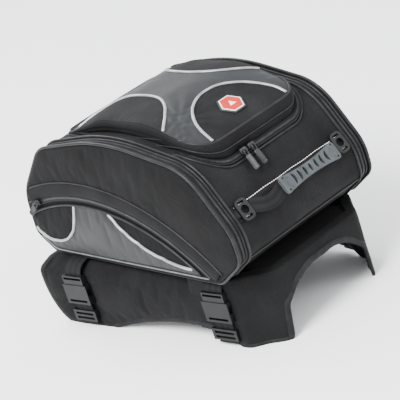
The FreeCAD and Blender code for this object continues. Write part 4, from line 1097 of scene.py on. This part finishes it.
# %% Lid zip and mouth binding
def on_shell(x, y, off=0.0):
    """Point on the shell's upper side, raised off it."""
    step = 1.5 * MM
    slope = (shell_top(y + step) - shell_top(y - step)) / (2 * step)
    normal = Vector((0, -slope, 1)).normalized()
    return Vector((x, y, shell_top(y))) + normal * off


def ring_on_shell(inset, off, front_limit):
    """The lid's outline on the shell, open at the front."""
    spots = [on_shell(p.x, p.y, off) for p in lid_plan(inset, corner_steps=14).points[:-1]
             if p.y <= front_limit]
    start = on_shell(LID_HALF - inset, front_limit, off)
    end = on_shell(-LID_HALF + inset, front_limit, off)
    return Path([start] + spots + [end])


def out_on_shell(path):
    """For a sweep: the direction away from the lid, along the shell."""
    def across(share):
        spot = path.at(share)
        out = plan_out(path, share) * 3 * MM
        return (on_shell(spot.x + out.x, spot.y + out.y) - on_shell(spot.x, spot.y)).normalized()
    return across


ZIP_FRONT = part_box("lid_zip")[1].y
bm = bmesh.new()
for inset in (-2.4 * MM, -7.2 * MM):
    tape = ring_on_shell(inset, 0.4 * MM, ZIP_FRONT)
    sweep(bm, tape, out_on_shell(tape), band_section(4.4 * MM, 1.1 * MM), 5 * MM)
coil_line = ring_on_shell(-4.8 * MM, 0.4 * MM, ZIP_FRONT)
teeth(bm, coil_line, out_on_shell(coil_line), 2.2 * MM, (3.4 * MM, 1.3 * MM, 1.5 * MM), 1.5 * MM,
      material=1, skew=0.3)
lid_coil = new_piece("lid_coil", bm, [zip_tape, nylon_coil], "bag", smooth=False)
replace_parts(lid_coil, "lid_zip")
bm = bmesh.new()
outer_lip = ring_on_shell(-10.6 * MM, 0.6 * MM, ZIP_FRONT)
sweep(bm, outer_lip, out_on_shell(outer_lip), round_section(1.7 * MM, 8), 5 * MM)
new_piece("lid_zip_seam", bm, black_piping, "bag")
bm = bmesh.new()
rim_line = Path([on_shell(p.x, p.y, -1.2 * MM) for p in mouth.points[:-1]], closed=True)
sweep(bm, rim_line, upwards, round_section(2.0 * MM, 8), 5 * MM)
new_piece("mouth_binding", bm, binding_tape, "bag")


# %% Lid hinge strip
def hinge_place(u, v):
    x = (u * 2 - 1) * (LID_HALF - 14 * MM)
    y = LID_FRONT - 10 * MM + 18 * MM * v
    on_lid, on_bag = lid_z(x, min(y, LID_FRONT)), shell_top(y)
    rise = max(on_lid, on_bag) + (0.9 - 1.6 * abs(u * 2 - 1) ** 8) * MM
    return Vector((x, y, rise))


bm = bmesh.new()
bend_grid(bm, 60, 10, hinge_place)
face_along(bm, Z_AXIS)
hinge = thicken(new_piece("lid_hinge_strip", bm, shell_cloth, closed=False), 1.2 * MM, 1.0)
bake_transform(hinge)

# %% [markdown]
# ## Reflective pipings on the lid
# The arches are sewn on the lid's skin, so each point of their line is dropped onto it.


# %% Lid pipings
def on_lid(x, y, off=0.0):
    hit = lid_skin_tree.ray_cast(Vector((x, y, 0.5)), -Z_AXIS)[0]
    if hit is None:
        hit = Vector((x, y, lid_z(x, y)))
    return hit + Vector((0, 0, off))


def lid_piping(name, spots, node):
    line = Path([on_lid(x, y, 0.8 * MM) for x, y in spots])
    bm = bmesh.new()
    sweep(bm, line, lambda share: Z_AXIS.cross(line.along(share)),
          round_section(2.5 * MM, 10, 0.8), 4 * MM)
    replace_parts(new_piece(name, bm, silver_piping, "lid"), node)


for side, sign in SIDES:
    steps = [-1 + k / 40 for k in range(81)]
    wing = [(sign * wing_x(-4 * MM + s * 103.9 * MM), -4 * MM + s * 103.9 * MM) for s in steps]
    lid_piping(f"lid_wing_piping_{side}", wing, f"lid_piping_{side}")
apron = [(84 * MM * math.sin(a), LID_REAR + 92 * MM * math.cos(a))
         for a in (math.radians(-86 + 172 * k / 60) for k in range(61))]
lid_piping("lid_apron_piping", apron, "lid_piping_rear")
print("lid done")

# %% [markdown]
# ## Badge
# The badge is moulded rubber in three steps: a black hexagon, a white one and a red face with a plain
# triangle. It sits on the lid's skin, square to it.

# %% Badge
BADGE_Y = (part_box("badge_plate")[0].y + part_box("badge_plate")[1].y) / 2
BADGE_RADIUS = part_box("badge_plate")[1].x
corners = [on_lid(x * 14 * MM, BADGE_Y + y * 14 * MM) for x, y in ((-1, -1), (1, -1), (1, 1), (-1, 1))]
badge_up = (corners[2] - corners[0]).cross(corners[3] - corners[1]).normalized()
badge_climb = badge_up.cross(X_AXIS).normalized()
badge_spot = sum(corners, Vector()) / 4 - badge_up * 0.6 * MM
badge_frame = Matrix((X_AXIS, badge_climb, badge_up)).transposed().to_4x4()
badge_frame = Matrix.Translation(badge_spot) @ badge_frame


def hexagon(name, radius, low, high, ease, material):
    bm = bmesh.new()
    bmesh.ops.create_circle(bm, cap_ends=True, segments=6, radius=radius,
                            matrix=Matrix.Rotation(math.radians(30), 4, "Z"))
    bmesh.ops.translate(bm, vec=(0, 0, low), verts=bm.verts)
    raised = bmesh.ops.extrude_face_region(bm, geom=bm.faces[:])
    top = [g for g in raised["geom"] if isinstance(g, bmesh.types.BMVert)]
    bmesh.ops.translate(bm, vec=(0, 0, high - low), verts=top)
    bmesh.ops.bevel(bm, geom=bm.edges[:], offset=ease, affect="EDGES", segments=3, profile=0.5,
                    material=-1)
    bmesh.ops.transform(bm, matrix=badge_frame, verts=bm.verts)
    return new_piece(name, bm, material, "lid", smooth=False)


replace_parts(hexagon("badge_backing", BADGE_RADIUS, 0, 3.4 * MM, 0.9 * MM, badge_rubber), "badge_plate")
hexagon("badge_border", BADGE_RADIUS * 0.86, 2.0 * MM, 4.0 * MM, 0.3 * MM, badge_white)
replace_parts(hexagon("badge_red_face", BADGE_RADIUS * 0.78, 3.0 * MM, 4.3 * MM, 0.3 * MM, badge_red),
            "badge_face")
bm = bmesh.new()
bmesh.ops.create_cone(bm, cap_ends=True, segments=3, radius1=7 * MM, radius2=7 * MM, depth=0.9 * MM,
                      matrix=badge_frame @ Matrix.Translation((0, -1.2 * MM, 4.5 * MM)))
new_piece("badge_triangle", bm, badge_white, "lid", smooth=False)

# %% [markdown]
# ## Rear strap and its bright stitches
# Across the rear slope runs a 25 mm webbing, sewn along both edges with reflective thread. All pieces
# here are placed from the strap's middle: along x, up the slope and off the slope.


# %% Places on the rear slope
def rear_spot(z):
    """Point of the shell's rear face at a height."""
    near = [p for p in shell_hoop.points if p.y < 0]
    return min(near, key=lambda p: abs(p.z - z))


strap_low, strap_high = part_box("rear_strap")
strap_middle = (strap_low + strap_high) / 2
climb = (rear_spot(BAG_LOW + 150 * MM) - rear_spot(BAG_LOW + 104 * MM)).normalized()
off_slope = X_AXIS.cross(climb)
strap_root = strap_middle - off_slope * 1.0 * MM
STRAP_HALF = strap_high.x


def on_slope(x, rise, off):
    return strap_root + X_AXIS * x + climb * rise + off_slope * off


def local_range(node, keep=lambda v: True):
    """Lowest and highest x, rise and off of a CAD node's points on the rear slope."""
    spots = [v.co - strap_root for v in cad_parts[node].data.vertices if keep(v.co)]
    rows = [(s.x, s.dot(climb), s.dot(off_slope)) for s in spots]
    return [(min(r[i] for r in rows), max(r[i] for r in rows)) for i in range(3)]


def smooth_line(spots, parts=8):
    """A smooth line through a few points, as Catmull and Rom's spline."""
    spots = [Vector(s) for s in spots]
    out = []
    for i in range(len(spots) - 1):
        a, b = spots[max(i - 1, 0)], spots[i]
        c, d = spots[i + 1], spots[min(i + 2, len(spots) - 1)]
        for k in range(parts):
            t = k / parts
            out.append(0.5 * (2 * b + (c - a) * t + (2 * a - 5 * b + 4 * c - d) * t * t
                              + (3 * b - a - 3 * c + d) * t ** 3))
    return Path(out + [spots[-1]])


# %% Rear strap
def up_slope(share):
    return climb


bm = bmesh.new()
strap_line = Path([on_slope((k / 30 * 2 - 1) * STRAP_HALF, 0.4 * MM * math.sin(k * 0.9),
                            0.2 * MM + 0.3 * MM * math.sin(k * 1.3) ** 2) for k in range(31)])
sweep(bm, strap_line, up_slope, band_section(25 * MM, 1.7 * MM), 4 * MM)
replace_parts(new_piece("rear_strap_web", bm, black_webbing, "bag", smooth=False), "rear_strap")
STITCH_PITCH, STITCH_SIZE = 4.6 * MM, (0.9 * MM, 3.0 * MM, 0.5 * MM)
bm = bmesh.new()
for shift in (-10.8 * MM, 10.8 * MM):
    teeth(bm, strap_line, up_slope, STITCH_PITCH, STITCH_SIZE, 2.1 * MM, shift=shift, ends=0.02)
new_piece("rear_strap_stitches", bm, bright_thread, "bag", smooth=False)
bm = bmesh.new()
for side, sign in SIDES:
    rows = local_range("ring_tabs", lambda co: co.x * sign > 0)
    near, far = sorted((abs(rows[0][0]), abs(rows[0][1])))
    print("ring tab", side, [[round(c / MM, 1) for c in r] for r in rows],
          "ring", [[round(c / MM, 1) for c in r] for r in local_range(f"ring_{side}")])
    width, top = rows[1][1] - rows[1][0], rows[2][1]
    middle = (rows[1][0] + rows[1][1]) / 2
    tab = smooth_line([on_slope(sign * (far - t * (far - near)), middle, 2.2 * MM + (top - 3.4 * MM) * h)
                       for t, h in ((0, 0), (0.25, 0.5), (0.5, 1.0), (0.8, 1.0), (1, 0.9))])
    sweep(bm, tab, up_slope, band_section(width, 1.1 * MM), 2 * MM)
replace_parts(new_piece("ring_tab_webs", bm, black_webbing, "bag", smooth=False), "ring_tabs")

# %% [markdown]
# ## Handle
# The handle is a strip of webbing from ring to ring with a rubber grip on it. The webbing is longer
# than it needs to be, so it sags beside the grip. The grip is a waisted pad, and its crescent slots
# are cut out of it by a Boolean modifier.


# %% Handle webbing and grip
def handle_line():
    spots = [(-97, 0, 4.4), (-90, -4, 9), (-79, -11, 14), (-65, -13, 16), (-50, -10, 15), (-36, -6, 14.4),
             (24, -6, 14.2), (72, -6, 14.4), (85, -5, 12.5), (92, -3, 7.5), (97, 0, 4.4)]
    return smooth_line([on_slope(x * MM, rise * MM, off * MM) for x, rise, off in spots])


bm = bmesh.new()
handle_path = handle_line()
sweep(bm, handle_path, up_slope, band_section(23 * MM, 1.6 * MM), 3 * MM)
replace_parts(new_piece("handle_web", bm, black_webbing, "handle", smooth=False), "handle_webbing")

grip_rows = local_range("handle_grip")
GRIP_MIDDLE = (grip_rows[0][0] + grip_rows[0][1]) / 2
GRIP_HALF, GRIP_TALL = grip_rows[0][1] - GRIP_MIDDLE, grip_rows[1][1]
GRIP_LOW, GRIP_HIGH = grip_rows[2]
GRIP_WAIST = 5.5 * MM
GRIP_DROP = 6 * MM


def on_grip(x, rise, off):
    """A point of the grip, which hangs a little below the rings."""
    return on_slope(GRIP_MIDDLE + x, rise - GRIP_DROP, off)


def grip_half_height(x):
    """Half height of the grip at x: waisted in the middle, rounded at its corners."""
    share = abs(x) / GRIP_HALF
    tall = GRIP_TALL - GRIP_WAIST * (1 - min(share, 1) ** 2) - 0.8 * MM
    corner = max(abs(x) - (GRIP_HALF - 5 * MM), 0) / (5.05 * MM)
    return tall - 5 * MM * (1 - math.sqrt(max(1 - corner * corner, 0)))


def grip_place(u, v):
    x = (u * 2 - 1) * GRIP_HALF
    angle = 2 * math.pi * v
    wide, high = math.cos(angle), math.sin(angle)
    rise = grip_half_height(x) * math.copysign(abs(wide) ** 0.35, wide)
    ends = 1 - 0.25 * max(abs(x) - (GRIP_HALF - 4 * MM), 0) / (4 * MM)
    off = (GRIP_LOW + GRIP_HIGH) / 2 + (GRIP_HIGH - GRIP_LOW) / 2 * ends * math.copysign(
        abs(high) ** 0.45, high)
    return on_grip(x, rise, off)


bm = bmesh.new()
bend_grid(bm, 90, 40, grip_place, closed_v=True)
rims = [e for e in bm.edges if e.is_boundary]
bmesh.ops.holes_fill(bm, edges=rims, sides=0)
grip = new_piece("grip_pad", bm, grip_rubber)
cutter_bm = bmesh.new()
for place in range(-3, 4):
    length = (6.6 + 0.9 * abs(place)) * MM
    bend = -0.9 * MM * place
    made = bmesh.ops.create_cone(cutter_bm, cap_ends=True, segments=28, radius1=1, radius2=1, depth=1)
    for vert in made["verts"]:
        a, b, c = vert.co
        vert.co = on_grip(place * 13 * MM + a * 2.7 * MM + bend * (1 - b * b), b * length,
                          (GRIP_LOW + GRIP_HIGH) / 2 + c * 30 * MM)
for x in (-1, 1):
    for rise in (-1, 1):
        made = bmesh.ops.create_cone(cutter_bm, cap_ends=True, segments=16, radius1=1, radius2=1,
                                     depth=1)
        for vert in made["verts"]:
            a, b, c = vert.co
            vert.co = on_grip(x * 55.5 * MM + a * 1.7 * MM, rise * 10.5 * MM + b * 1.7 * MM,
                              GRIP_HIGH + c * 8 * MM)
cutters = new_piece("grip_cutters", cutter_bm, grip_rubber)
slots = grip.modifiers.new("slots", "BOOLEAN")
slots.object, slots.operation, slots.solver = cutters, "DIFFERENCE", "EXACT"
shaped = bpy.data.meshes.new_from_object(grip.evaluated_get(bpy.context.evaluated_depsgraph_get()))
grip.modifiers.clear()
grip.data = shaped
bpy.data.objects.remove(cutters)
for polygon in grip.data.polygons:
    polygon.use_smooth = True
grip.data.set_sharp_from_angle(angle=math.radians(38))
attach(grip, "handle")
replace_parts(grip, "handle_grip")
bm = bmesh.new()
for sign in (-1, 1):
    oval = Path([on_grip(sign * 48.5 * MM + 4.2 * MM * math.cos(a), 8.5 * MM * math.sin(a),
                         GRIP_HIGH - 0.1 * MM) for a in (2 * math.pi * k / 36 for k in range(36))],
                closed=True)
    sweep(bm, oval, lambda share: off_slope, round_section(0.8 * MM, 6), 2 * MM)
new_piece("grip_ovals", bm, grip_rubber, "handle")
print("grip", len(grip.data.polygons), "faces")

# %% [markdown]
# ## Zip pulls
# A pull is a wire loop through the slider's bridge and a moulded tab on it. The tab has a raised rim
# round a hollow, which is what catches the light.


# %% Zip pulls
def zip_pull(name, node, slider, body, out, tab_material):
    """A wire loop and a moulded tab in the place of a CAD pull, which hangs from a slider."""
    low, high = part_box(node)
    s_low, s_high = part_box(slider)
    middle, anchor = (low + high) / 2, (s_low + s_high) / 2
    hang = middle - anchor
    hang = (hang - out * hang.dot(out)).normalized()
    wide = out.cross(hang)
    reach = max((v.co - middle).dot(hang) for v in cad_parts[node].data.vertices)
    top, end = middle - hang * reach, middle + hang * reach
    bm = bmesh.new()
    loop = [(-3.1, 1.2), (-3.3, 7), (-2.6, 11.5), (0, 12.4), (2.6, 11.5), (3.3, 7), (3.1, 1.2), (0, 0.2)]
    wire = Path([top + wide * a * MM + hang * b * MM for a, b in loop], closed=True)
    sweep(bm, wire, lambda share: out, round_section(0.95 * MM, 8), 1.2 * MM)
    wire_piece = new_piece(f"{name}_wire", bm, coated_zinc, body)
    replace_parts(wire_piece, node)
    tab_top = top + hang * 9.5 * MM
    span = (end - tab_top).dot(hang)

    def tab_place(u, v):
        run = u * span
        near_end = min(run, span - run) / (3.2 * MM)
        half = 5.2 * MM * (math.sqrt(max(1 - (1 - min(near_end, 1)) ** 2, 0)) * 0.75 + 0.25)
        angle = 2 * math.pi * v
        a = half * math.copysign(abs(math.cos(angle)) ** 0.5, math.cos(angle))
        c = 1.15 * MM * math.copysign(abs(math.sin(angle)) ** 0.5, math.sin(angle))
        if c > 0 and abs(a) < 3.4 * MM and 0.2 < u < 0.8:
            c *= 0.45
        return tab_top + hang * run + wide * a + out * c

    bm = bmesh.new()
    bend_grid(bm, 40, 28, tab_place, closed_v=True)
    bmesh.ops.holes_fill(bm, edges=[e for e in bm.edges if e.is_boundary], sides=0)
    rim = [tab_top + hang * (span / 2 + math.cos(a) * (span / 2 - 0.8 * MM))
           + wide * 4.5 * MM * math.copysign(abs(math.sin(a)) ** 0.45, math.sin(a)) + out * 1.0 * MM
           for a in (2 * math.pi * k / 48 for k in range(48))]
    sweep(bm, Path(rim, closed=True), lambda share: out, round_section(0.55 * MM, 6), 1.5 * MM,
          material=1)
    new_piece(f"{name}_tab", bm, [tab_material, coated_zinc], body)


for side, sign in SIDES:
    zip_pull(f"lid_pull_{side}", f"lid_pull_{side}", f"lid_slider_{side}", f"lid_pull_{side}", off_slope,
             pull_grey if side == "left" else pull_rubber)
    zip_pull(f"pocket_pull_{side}", f"pocket_pull_{side}", f"pocket_slider_{side}",
             f"pocket_pull_{side}", X_AXIS * sign, pull_rubber)
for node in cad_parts:
    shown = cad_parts[node].data.materials
    if "slider" in node:
        shown[0] = coated_zinc
    elif node.startswith("ring_") and node != "ring_tabs":
        shown[0] = acetal
    elif node.startswith(("buckle", "ladder", "prong")):
        shown[0] = acetal
    elif node == "base_board":
        shown[0] = board_plastic
print("trim done")

# %% [markdown]
# ## The saddle's side flaps
# A flap starts at the mat's edge, goes over a shoulder and hangs down beside the seat. It is cut flat
# as a developed shape, with a round front, an arched hem and a round rear end, then folded over the
# shoulder and settled as cloth. It stays flat under the buckles, which press on it.


# %% Side flaps
def flap_share(y):
    front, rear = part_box("saddle_flap_left")[1].y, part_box("saddle_flap_left")[0].y
    return (front - y) / (front - rear)


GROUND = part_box("saddle_flap_left")[0].z
FLAP_FRONT_HALF = -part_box("saddle_flap_left")[0].x
FLAP_REAR_HALF = -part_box("corner_flap_left")[0].x
SHOULDER_Z = -12 * MM


def flap_outer(y):
    """Distance of the flap's outer face from the middle."""
    return FLAP_FRONT_HALF + (FLAP_REAR_HALF - FLAP_FRONT_HALF) * flap_share(y)


def flap_runs(y):
    """The section's points as (distance from the middle, height), from the hem's level upwards."""
    t = flap_share(y)
    outer, inner, run = flap_outer(y), (118 - 14 * t) * MM, (24 - 10 * t) * MM
    return [(outer, GROUND), (outer, SHOULDER_Z), (outer - run, 1 * MM), (inner, 6 * MM)]


def flap_spot(y, up_along):
    """Point of the left flap's face at a developed distance up from the ground."""
    points = flap_runs(y)
    for (xa, za), (xb, zb) in zip(points, points[1:]):
        length = math.hypot(xb - xa, zb - za)
        if up_along <= length or (xb, zb) == points[-1]:
            t = up_along / length
            return Vector((-(xa + (xb - xa) * t), y, za + (zb - za) * t))
        up_along -= length


def flap_top(y):
    points = flap_runs(y)
    return sum(math.hypot(b[0] - a[0], b[1] - a[1]) for a, b in zip(points, points[1:]))


def flap_hem(y):
    """Rise of the hem's arch over the ground."""
    under = (500 * MM) ** 2 - (y + 70 * MM) ** 2
    return max(0.0, 32 * MM - 500 * MM + math.sqrt(max(under, 0)))


FLAP_END = -136 * MM
BUCKLE_FRONT_Y, BUCKLE_REAR_Y = 150 * MM, -155 * MM
cut = []
front_mid, front_reach = 186 * MM, 46 * MM
for k in range(25):
    angle = math.radians(90 - 180 * k / 24)
    y = front_mid + front_reach * math.cos(angle)
    half = flap_top(front_mid) / 2
    cut.append((y, half + half * math.sin(angle), 0))
for k in range(1, 40):
    y = front_mid + (FLAP_END + 26 * MM - front_mid) * k / 39
    cut.append((y, flap_hem(y), 0))
for k in range(1, 9):
    angle = math.radians(90 * k / 8)
    cut.append((FLAP_END + 26 * MM * (1 - math.sin(angle)),
                flap_hem(FLAP_END) + 26 * MM * (1 - math.cos(angle)), 0))
for k in range(30):
    y = FLAP_END + (front_mid - FLAP_END) * k / 30
    cut.append((y, flap_top(y), 0))
flap_cut = Path(cut, closed=True)
flap_bm = cut_sheet(flap_cut, 6 * MM)
for vert in flap_bm.verts:
    vert.co = flap_spot(vert.co.x, vert.co.y)
relax(flap_bm, 4)
face_along(flap_bm, -X_AXIS)


def under_buckle(spot):
    return abs(spot.y - BUCKLE_FRONT_Y) < 30 * MM


puff(flap_bm, lambda v: v.is_boundary or under_buckle(v.co) or v.co.z > -2 * MM,
     9.0, 0.02, 10 * MM, frames=18, stiffness=8.0, bending=1.0)
for vert in flap_bm.verts:
    if not (vert.is_boundary or under_buckle(vert.co)) and vert.co.z < 0:
        drop = soft_noise(Vector((0, vert.co.y + vert.co.z * 0.6, vert.co.z * 0.9)), 58 * MM, 9.0)
        vert.co.x += drop * 2.2 * MM
refine(flap_bm, 1, 1)
flap_left = new_piece("saddle_pad_left", flap_bm, base_cloth, "saddle", closed=False)
flap_right = mirrored(flap_left, "saddle_pad_right", "saddle")
for side, flap in (("left", flap_left), ("right", flap_right)):
    thicken(flap, 5 * MM)
    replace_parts(flap, f"saddle_flap_{side}")
print("flap", len(flap_left.data.polygons), "faces")


def base_pair(name, bm, material, smooth=True):
    left = new_piece(f"{name}_left", bm, material, "saddle", smooth)
    return left, mirrored(left, f"{name}_right", "saddle")


def fold_section(half_width, half_height, lift):
    """Binding tape folded over an edge: wide, thin and rounded."""
    return [(a * half_width, b * half_height + lift) for a, b in
            ((-1, 0), (-0.8, 0.8), (0, 1), (0.8, 0.8), (1, 0), (0.8, -0.8), (0, -1), (-0.8, -0.8))]


bm = bmesh.new()
edge_spots = [flap_spot(p.x, p.y) for p in flap_cut.points[:73]]
edge_line = Path(edge_spots)


def across_edge(share):
    spot = edge_line.at(share)
    face = Vector((-1, 0.1, 0)) if spot.z < -8 * MM else Vector((-0.5, 0.05, 0.85))
    return face.normalized().cross(edge_line.along(share))


sweep(bm, edge_line, across_edge, fold_section(6 * MM, 3.4 * MM, -1.8 * MM), 4 * MM)
for vert in bm.verts:
    vert.co.z = max(vert.co.z, cad_box[0][2] + 0.3 * MM)
base_pair("saddle_binding", bm, binding_tape)

# %% [markdown]
# ## The rear apron
# Behind the side flaps one sheet wraps round both rear corners. Over the tail light its hem rises in an
# arch, so the light stays clear. The sheet is a grid bent along the saddle's plan, flared at its hem.


# %% Rear apron
corner_low, corner_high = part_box("corner_flap_left")
MAT_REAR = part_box("saddle_mat")[0].y
apron_side = [(-flap_outer(y * MM) + 0.8 * MM, y * MM, 0) for y in (-104, -130, -160, -182)]
apron_turn = [(-FLAP_REAR_HALF + 3 * MM, -196 * MM, 0), (-118 * MM, -216 * MM, 0),
              (corner_high.x - 5 * MM, corner_low.y + 0.5 * MM, 0), (-62 * MM, MAT_REAR - 6 * MM, 0)]
half_plan = apron_side + apron_turn
apron_plan = smooth_line(half_plan + [(0, MAT_REAR - 8 * MM, 0)] +
                         [(-x, y, z) for x, y, z in reversed(half_plan)], 10)
ARCH_HALF = 93 * MM


TURN = 0.12


def apron_hem(spot):
    """Height of the apron's hem: an arch over the tail light, down to the ground at the corners."""
    if spot.y > -188 * MM:
        return GROUND + flap_hem(spot.y) * min(max((spot.y + 188 * MM) / (30 * MM), 0), 1)
    share = min(abs(spot.x) / ARCH_HALF, 1.0)
    arch = -8 * MM - 44 * MM * share ** 2.6
    drop = min(max((abs(spot.x) - ARCH_HALF) / (5 * MM), 0.0), 1.0)
    return arch + (GROUND + 1 * MM - arch) * drop


def apron_place(u, v):
    spot = apron_plan.at(u)
    ahead = apron_plan.along(u, 6 * MM)
    out = ahead.cross(Z_AXIS).normalized()
    out = out if out.dot(Vector((spot.x, spot.y + 60 * MM, 0))) > 0 else -out
    if v < TURN:
        inward = 1 - v / TURN
        return Vector((spot.x, spot.y, (8.9 + 0.4 * inward) * MM)) + out * (1.6 - 17 * inward) * MM
    fall = (v - TURN) / (1 - TURN)
    rear = 1 - min(abs(spot.x) / (100 * MM), 1.0)
    top, low = 8.9 * MM, apron_hem(spot)
    rounding = 1.6 + 1.6 * (1 - (1 - fall) ** 12)
    flare = rounding + (1.0 + 6.0 * rear) * fall
    fold = 1.1 * MM * soft_noise(Vector((u * 0.5, 0, (top - low) * fall * 0.5)), 34 * MM, 5.0)
    sunk = Vector((spot.x, spot.y, top + (low - top) * fall))
    return sunk + out * (flare * MM + fold * min(fall * 4, 1))


bm = bmesh.new()
bend_grid(bm, 230, 34, apron_place)
face_out(bm, Vector((0, -120 * MM, -40 * MM)))
apron = thicken(new_piece("rear_apron", bm, base_cloth, "saddle", closed=False), 3.5 * MM)
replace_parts(apron, "corner_flap_left", "corner_flap_right")
hem_line = Path([apron_place(k / 229, 1.0) for k in range(230)])


def across_hem(share):
    ahead = hem_line.along(share)
    out = hem_line.at(share) - Vector((0, -100 * MM, hem_line.at(share).z))
    return (out - ahead * out.dot(ahead)).normalized().cross(ahead)


bm = bmesh.new()
sweep(bm, hem_line, across_hem, fold_section(5.5 * MM, 2.8 * MM, -1.5 * MM), 3 * MM)
new_piece("apron_binding", bm, binding_tape, "saddle")

# %% [markdown]
# ## The saddle mat
# The mat is a foam slab in a sewn cover. Its plan is read from the CAD mat at its underside and at its
# top, and each outline is raised to a slab whose level edges are bevelled.


# %% Saddle mat
def plan_outline(node, z):
    """Outline of a CAD node in a level plane, in order, as flat points."""
    spots = [v.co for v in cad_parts[node].data.vertices if abs(v.co.z - z) < 0.02 * MM]
    ordered = sorted(spots, key=lambda p: math.atan2(p.y, p.x))
    return [p for i, p in enumerate(ordered) if (p - ordered[i - 1]).length > 0.3 * MM]


mat_low, mat_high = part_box("saddle_mat")
bm = bmesh.new()
for z, low, high in ((mat_low.z, mat_low.z + 0.1 * MM, mat_high.z - 0.2 * MM),
                     (mat_high.z, mat_low.z + 2.2 * MM, mat_high.z - 0.3 * MM)):
    verts = [bm.verts.new((p.x, p.y, low)) for p in plan_outline("saddle_mat", z)]
    base = bm.faces.new(verts)
    raised = bmesh.ops.extrude_face_region(bm, geom=[base])
    top = [g for g in raised["geom"] if isinstance(g, bmesh.types.BMVert)]
    bmesh.ops.translate(bm, vec=(0, 0, high - low), verts=top)
sharp = [e for e in bm.edges if len(e.link_faces) == 2 and e.calc_face_angle(0) > 1.0
         and abs((e.verts[0].co - e.verts[1].co).z) < 0.1 * MM]
bmesh.ops.bevel(bm, geom=sharp, offset=1.6 * MM, affect="EDGES", segments=2, profile=0.5, material=-1)
mat = new_piece("saddle_mat_pad", bm, base_cloth, "saddle", smooth=False)
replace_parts(mat, "saddle_mat")
print("mat", len(mat.data.polygons), "faces")

# %% [markdown]
# ## Hold-down webbing
# Four 38 mm straps come from under the bag, over the shoulders and into the buckles' clips. Below each
# socket a second strap runs through a ladder lock to a sewn end.

# %% Straps of the buckles
hold_bm, lower_bm = bmesh.new(), bmesh.new()
bag_strap_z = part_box("hold_down_straps")[1].z - 0.9 * MM
clip_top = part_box("buckle_clips")[1].z
socket_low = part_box("buckle_sockets")[0].z
web_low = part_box("lower_webbing")[0].z
for y in (BUCKLE_FRONT_Y, BUCKLE_REAR_Y):
    outer = flap_outer(y)
    fore = Vector((-(FLAP_FRONT_HALF - FLAP_REAR_HALF), 420 * MM, 0)).normalized()
    leave = Vector((-fore.y, fore.x, 0))
    root = Vector((-outer, y, 0))

    def strap_spot(off, z, root=root, leave=leave):
        return root + leave * off * MM + Vector((0, 0, z))

    over = smooth_line([strap_spot(121 - outer / MM, bag_strap_z), strap_spot(-30, bag_strap_z),
                        strap_spot(-13, bag_strap_z - 0.5 * MM), strap_spot(0, 1.5 * MM),
                        strap_spot(6.4, clip_top + 5 * MM), strap_spot(7, clip_top - 2 * MM)], 6)
    sweep(hold_bm, over, lambda share, side=-fore: side, band_section(38 * MM, 1.7 * MM, -0.9 * MM),
          3 * MM)
    below = Path([strap_spot(6.4, socket_low + 1 * MM), strap_spot(5.6, (socket_low + web_low) / 2),
                  strap_spot(6.4, web_low)])
    sweep(lower_bm, below, lambda share, side=-fore: side, band_section(38 * MM, 1.7 * MM, -0.9 * MM),
          3 * MM)
for bm, name, body, node in ((hold_bm, "hold_down_web", "bag", "hold_down_straps"),
                             (lower_bm, "lower_web", "saddle", "lower_webbing")):
    left = new_piece(f"{name}_left", bm, black_webbing, body, smooth=False)
    mirrored(left, f"{name}_right", body)
    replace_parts(left, node)
print("base done")

# %% [markdown]
# ## Floor and light
# The bag stands on the lower edges of its flaps, on a pale floor. A large soft light from the upper
# left, a weaker one from the right and a bright even sky keep the black cloth readable.

# %% Floor, lights and sky
floor_bm = bmesh.new()
bmesh.ops.create_grid(floor_bm, x_segments=2, y_segments=2, size=6.0)
bmesh.ops.translate(floor_bm, vec=(0, 0, cad_box[0][2]), verts=floor_bm.verts)
floor_paint, _, floor_shader = new_material("floor_paint", 0.9)
floor_shader.inputs["Base Color"].default_value = linear("#fbfbfb")
floor = new_piece("floor", floor_bm, floor_paint, closed=False)


def soft_light(name, place, aim, size, power):
    """A square area light at one place, aimed at another."""
    lamp = bpy.data.objects.new(name, bpy.data.lights.new(name, "AREA"))
    lamp.data.size, lamp.data.energy = size, power
    lamp.location = place
    lamp.rotation_euler = (Vector(aim) - Vector(place)).to_track_quat("-Z", "Y").to_euler()
    bpy.context.scene.collection.objects.link(lamp)


soft_light("key", (-2.2, -0.6, 2.6), (0, 0, 0.1), 1.5, 300)
soft_light("fill", (1.6, -2.6, 1.4), (0, 0, 0.1), 1.8, 45)
soft_light("rim", (0.4, 2.4, 2.2), (0, 0, 0.1), 1.4, 75)
world = bpy.data.worlds.new("sky")
bpy.context.scene.world = world
world.use_nodes = True
world.node_tree.nodes["Background"].inputs["Color"].default_value = linear("#f3f5f8")
world.node_tree.nodes["Background"].inputs["Strength"].default_value = 1.9
